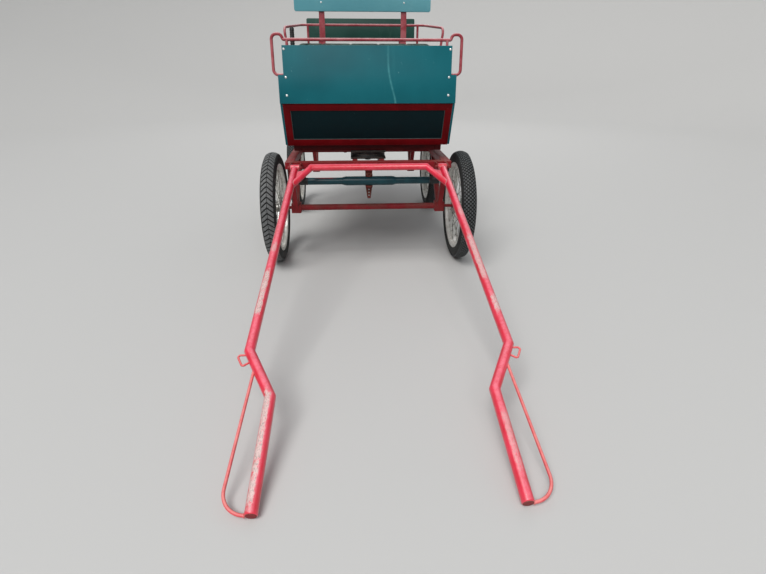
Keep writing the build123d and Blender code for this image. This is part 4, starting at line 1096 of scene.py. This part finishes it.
def makeGuards():
    bm = bmesh.new()
    for side in (-1, 1):
        hinge, elbow, bend, tip = shaftPoints(side)
        start = elbow + (bend - elbow) * guard["fromElbow"]
        out = Vector((side, 0, 0))
        drop = Vector((0, 0, guard["radius"] - shaft["radius"] + guard["lift"]))
        end = tip + (bend - tip).normalized() * guard["fromTip"] + drop / 2
        joinInto(bm, tube([start, end + out * guard["offset"], end], guard["radius"], [guard["turn"]], 16,
                          guard["end"]))
        root = end + out * (shaft["radius"] + guard["beadGap"])
        joinInto(bm, weldBead(root, out, guard["radius"], guard["bead"], 14))
    addShaftPiece("shaft_guard_rods", bm, "guardPaint", "shaft_guards")


def makeTraceHooks():
    bm = bmesh.new()
    for side in (-1, 1):
        hinge, elbow, bend, tip = shaftPoints(side)
        way = (bend - elbow).normalized()
        out = Vector((side, 0, 0))
        root = elbow + way * traceHook["root"]
        reach = out * (shaft["radius"] + traceHook["reach"])
        foot = root + way * traceHook["length"]
        lip = foot + out * (shaft["radius"] + traceHook["mouth"]) - way * traceHook["bend"]
        joinInto(bm, tube([root, root + reach, foot + reach, lip], traceHook["radius"], traceHook["bends"], 16,
                          traceHook["end"]))
    addShaftPiece("shaft_trace_hooks", bm, "guardPaint", "shaft_hooks")


for side, name in ((-1, "left"), (1, "right")):
    makeShaft(side, name)
makeGuards()
makeTraceHooks()
print("shafts made")


# Swingletree, thick in the middle, with rubber ends: cap root and tip as (distance, step of the radius)
swingletree = {"height": 0.563, "y": -0.222, "half": 0.413, "cap": 0.055, "thin": 0.020, "thick": 0.026,
               "centreHalf": 0.135, "taper": 0.024, "taperTurn": 0.4, "taperLip": 0.0018, "edge": 0.002,
               "sharp": 12, "capOver": 0.001,
               "capRoot": [(0, -0.001), (0.001, 0), (0.012, 0), (0.0135, -0.0012), (0.015, 0)],
               "capTip": [(0.006, 0), (0.0018, -0.0018), (0, -0.006)]}


def makeTree():
    half, cap, centre = swingletree["half"], swingletree["cap"], swingletree["centreHalf"]
    thin, thick, taper = swingletree["thin"], swingletree["thick"], swingletree["taper"]
    inner = half - cap
    place = fromAxle(0, swingletree["y"], swingletree["height"])
    right = [(inner, 0), (inner, thin), (centre + taper, thin),
             (centre + swingletree["taperTurn"] * taper, thick - swingletree["taperLip"]), (centre, thick)]
    bm = turned(mirrored(right), place, steps=36)
    sharp = [edge for edge in bm.edges if edge.calc_face_angle(0) > math.radians(swingletree["sharp"])
             and abs(edge.verts[0].co.x - edge.verts[1].co.x) < 1e-5]
    roundEdges(bm, sharp, swingletree["edge"], 2)
    addSolid("swingletree_bar", bm, "treePaint", "swingletree", "tree_paint", "swingletree")
    outer = thin + swingletree["capOver"]
    outline = [(inner, 0)] + [(inner + x, outer + step) for x, step in swingletree["capRoot"]]
    outline += arcThrough(*[(half - x, outer + step) for x, step in swingletree["capTip"]], 4)
    ends = bmesh.new()
    for side in (-1, 1):
        joinInto(ends, turned(outline + [(half, 0)], place, (side, 0, 0), 36))
    addSolid("swingletree_rubber_ends", ends, "softRubber", "swingletree", "rubber", "swingletree_ends")


makeTree()
print("swingletree made")


# Brake grip: share of the CAD grip's height, its lean, and rings, root and tip as (distance along, radius)
grip = {"share": 0.97, "lean": (0, 0.075, 0.535), "rings": 7, "firstRing": 0.012, "ringSpan": 0.026,
        "ring": [(0, 0.0136), (0.0015, 0.0122), (0.004, 0.0122), (0.0055, 0.0136)],
        "root": [(0, 0), (0, 0.0125), (0.002, 0.0136)], "tip": [(0.009, 0.0136), (0.0025, 0.0105), (0, 0.003)]}


def makeGrip():
    low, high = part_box("brake_grip")
    length = (high.z - low.z) * grip["share"]
    half = length / 2
    outline = [(x - half, radius) for x, radius in grip["root"]]
    for ring in range(grip["rings"]):
        at = grip["firstRing"] - half + ring * (length - grip["ringSpan"]) / grip["rings"]
        outline += [(at + step, radius) for step, radius in grip["ring"]]
    outline += arcThrough(*[(half - x, radius) for x, radius in grip["tip"]], 4) + [(half, 0)]
    bm = turned(outline, (low + high) / 2, grip["lean"])
    addSolid("brake_hand_grip", bm, "softRubber", "carriage", "rubber", "brake_grip")


makeGrip()
print("brake grip made")


# Cushions: a swollen pad with piping round its top and bottom edges and sewn channels across the seat
cushion = {"shrink": 0.010, "edge": 0.016, "voxel": 0.006, "pressure": 4, "frames": 20, "channels": 5,
           "sewn": 0.006, "sewnWidth": 0.0075, "seat": 0.0006, "fill": 0.8}
swellCaps = {"driver_cushion": 0.016, "rear_cushion": 0.014}  # how far each pad may swell
piping = {"radius": 0.0032, "sides": 8, "corner": 0.03, "cornerSteps": 5, "step": 0.03, "above": 0.008,
          "below": 0.014, "follow": 0.6}


def makePad(node):
    low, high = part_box(node)
    size = high - low - Vector((cushion["shrink"],) * 3)
    bm = bmesh.new()
    bmesh.ops.create_cube(bm, size=1, matrix=Matrix.Translation((low + high) / 2) @ Matrix.Diagonal((*size, 1)))
    roundEdges(bm, bm.edges[:], cushion["edge"], 4)
    pad = addObject(node + "_pad", meshOf(node + "Pad", bm))
    remesh = pad.modifiers.new("remesh", "REMESH")
    remesh.mode = "VOXEL"
    remesh.voxel_size = cushion["voxel"]
    freeze(pad)
    swell(pad, swellCaps[node])
    shapePad(pad, low, high)
    pad.data.materials.clear()
    pad.data.materials.append(finishes["seatCloth"])
    pad.data.shade_smooth()
    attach(pad, "carriage")
    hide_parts(node)
    return pad, low, high


def freeze(piece):
    # applies the modifiers and leaves none on the piece
    graph = bpy.context.evaluated_depsgraph_get()
    baked = bpy.data.meshes.new_from_object(piece.evaluated_get(graph))
    piece.modifiers.clear()
    piece.data = baked


def swell(piece, cap):
    rest = [vert.co.copy() for vert in piece.data.vertices]
    cloth = piece.modifiers.new("cloth", "CLOTH")
    cloth.settings.use_pressure = True
    cloth.settings.uniform_pressure_force = cushion["pressure"]
    cloth.settings.effector_weights.gravity = 0
    for step in range(cushion["frames"]):
        bpy.context.scene.frame_set(step + 1)
    freeze(piece)
    bpy.context.scene.frame_set(1)
    for vert, old in zip(piece.data.vertices, rest):
        move = vert.co - old
        if move.length > cap:
            vert.co = old + move.normalized() * cap


def shapePad(pad, low, high):
    # flat underneath where it rests on the board, with sewn channels pulled into the top
    channels = cushion["channels"]
    lines = [low.x + (high.x - low.x) * channel / channels for channel in range(1, channels)]
    for vert in pad.data.vertices:
        co = vert.co
        topness = max(0.0, min(1.0, (co.z - low.z) / (high.z - low.z) * 2 - 1))
        for line in lines:
            co.z -= cushion["sewn"] * topness * math.exp(-((co.x - line) / cushion["sewnWidth"]) ** 2)
        co.z = max(co.z, low.z + cushion["seat"])


def roundedRing(low, high, height):
    # evenly spaced points round a rectangle with rounded corners
    corner = piping["corner"]
    ring = []
    for x, y, start in ((high.x - corner, high.y - corner, 0), (low.x + corner, high.y - corner, 90),
                        (low.x + corner, low.y + corner, 180), (high.x - corner, low.y + corner, 270)):
        for step in range(piping["cornerSteps"]):
            angle = math.radians(start + step * 90 / (piping["cornerSteps"] - 1))
            ring.append(Vector((x + corner * math.cos(angle), y + corner * math.sin(angle), height)))
    dense = []
    for first, second in zip(ring, ring[1:] + ring[:1]):
        count = max(1, int((second - first).length / piping["step"]))
        dense += [first.lerp(second, step / count) for step in range(count)]
    return dense


def makePiping(pad, low, high, name):
    # two welts that follow the pad's rounded outline
    surface = BVHTree.FromPolygons([vert.co for vert in pad.data.vertices],
                                   [tuple(face.vertices) for face in pad.data.polygons])
    bm = bmesh.new()
    follow = piping["follow"]
    for height in (low.z + piping["above"], high.z - piping["below"]):
        near = [surface.find_nearest(point)[0] for point in roundedRing(low, high, height)]
        closedTube(bm, [Vector((x, y, height * (1 - follow) + z * follow)) for x, y, z in near])
    addSolid(name, bm, "seatCloth", "carriage", "cushion", smoothAngle=60)


def closedTube(bm, points):
    # a ring-shaped bar through points, closed on itself
    up = Vector((0, 0, 1))
    rings = []
    for before, point, after in zip(points[-1:] + points, points, points[1:] + points[:1]):
        way = (after - before).normalized()
        basis = Matrix((way.cross(up).normalized(), up, way)).transposed().to_4x4()
        rings.append(circleEdges(bm, Matrix.Translation(point) @ basis, piping["radius"], piping["sides"]))
    for ring, following in zip(rings, rings[1:] + rings[:1]):
        bmesh.ops.bridge_loops(bm, edges=ring + following)


for node in swellCaps:
    pad, low, high = makePad(node)
    makePiping(pad, low, high, node + "_piping")
print("cushions made")


# Zinc bolts on the boards. Dash: X and Z of each bolt, a point of the face as (Y, Z), its lean and rise
dashBolts = {"at": ((0.443, 1.256), (0.441, 1.120), (0.441, 1.030)), "face": (-0.232, 0.989), "lean": 0.031,
             "rise": 0.285}
# Backrests: node, distance between the columns, heights as shares of the board, lean and thickness of the board
backBolts = {"driver_backrest": (0.583, (0.25, 0.78)), "rear_backrest": (0.706, (0.2, 0.9)), "lean": 7,
             "board": 0.0151}
# Side and tail panels: a row above the floor and columns at the seat boxes, Y then Z
panelBolts = {"row": 0.79, "rowAt": (0.06, 0.28, 0.50, 0.72, 0.935, 0.976, 1.20, 1.42, 1.64, 1.77),
              "columns": [(0.552, (0.88, 1.00, 1.12)), (0.944, (0.92, 1.06, 1.19)), (1.362, (0.90, 1.02)),
                          (1.750, (0.90, 1.02))],
              "tailX": 0.44, "tailAt": (0.80, 0.93, 1.06)}


def boltDash():
    lean = math.atan2(dashBolts["lean"], dashBolts["rise"])
    y, foot = dashBolts["face"]
    places = [(fromAxle(side * x, y + math.tan(lean) * (z - foot), z), (0, -math.cos(lean), math.sin(lean)))
              for side in (-1, 1) for x, z in dashBolts["at"]]
    boltSet("dash_bolts", "carriage", places)


def boltPanels():
    spots = [(y, panelBolts["row"]) for y in panelBolts["rowAt"]]
    spots += [(y, z) for y, heights in panelBolts["columns"] for z in heights]
    faces = ((-1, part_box("side_panel_left")[0].x), (1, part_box("side_panel_right")[1].x))
    places = [(Vector((face, y, z)), (side, 0, 0)) for side, face in faces for y, z in spots]
    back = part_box("tail_panel")[1].y
    places += [(Vector((side * panelBolts["tailX"], back, z)), (0, 1, 0)) for side in (-1, 1)
               for z in panelBolts["tailAt"]]
    boltSet("panel_bolts", "carriage", places)


def boltBacks(node):
    low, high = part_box(node)
    spacing, heights = backBolts[node]
    lean = math.radians(backBolts["lean"])
    size = high - low
    places = [(Vector((x, low.y + (size.y - backBolts["board"]) * share, low.z + size.z * share)),
               (0, -math.cos(lean), math.sin(lean))) for x in (-spacing / 2, spacing / 2) for share in heights]
    boltSet(node + "_bolts", "carriage", places)


boltDash()
boltPanels()
boltBacks("driver_backrest")
boltBacks("rear_backrest")
print("bolts made")
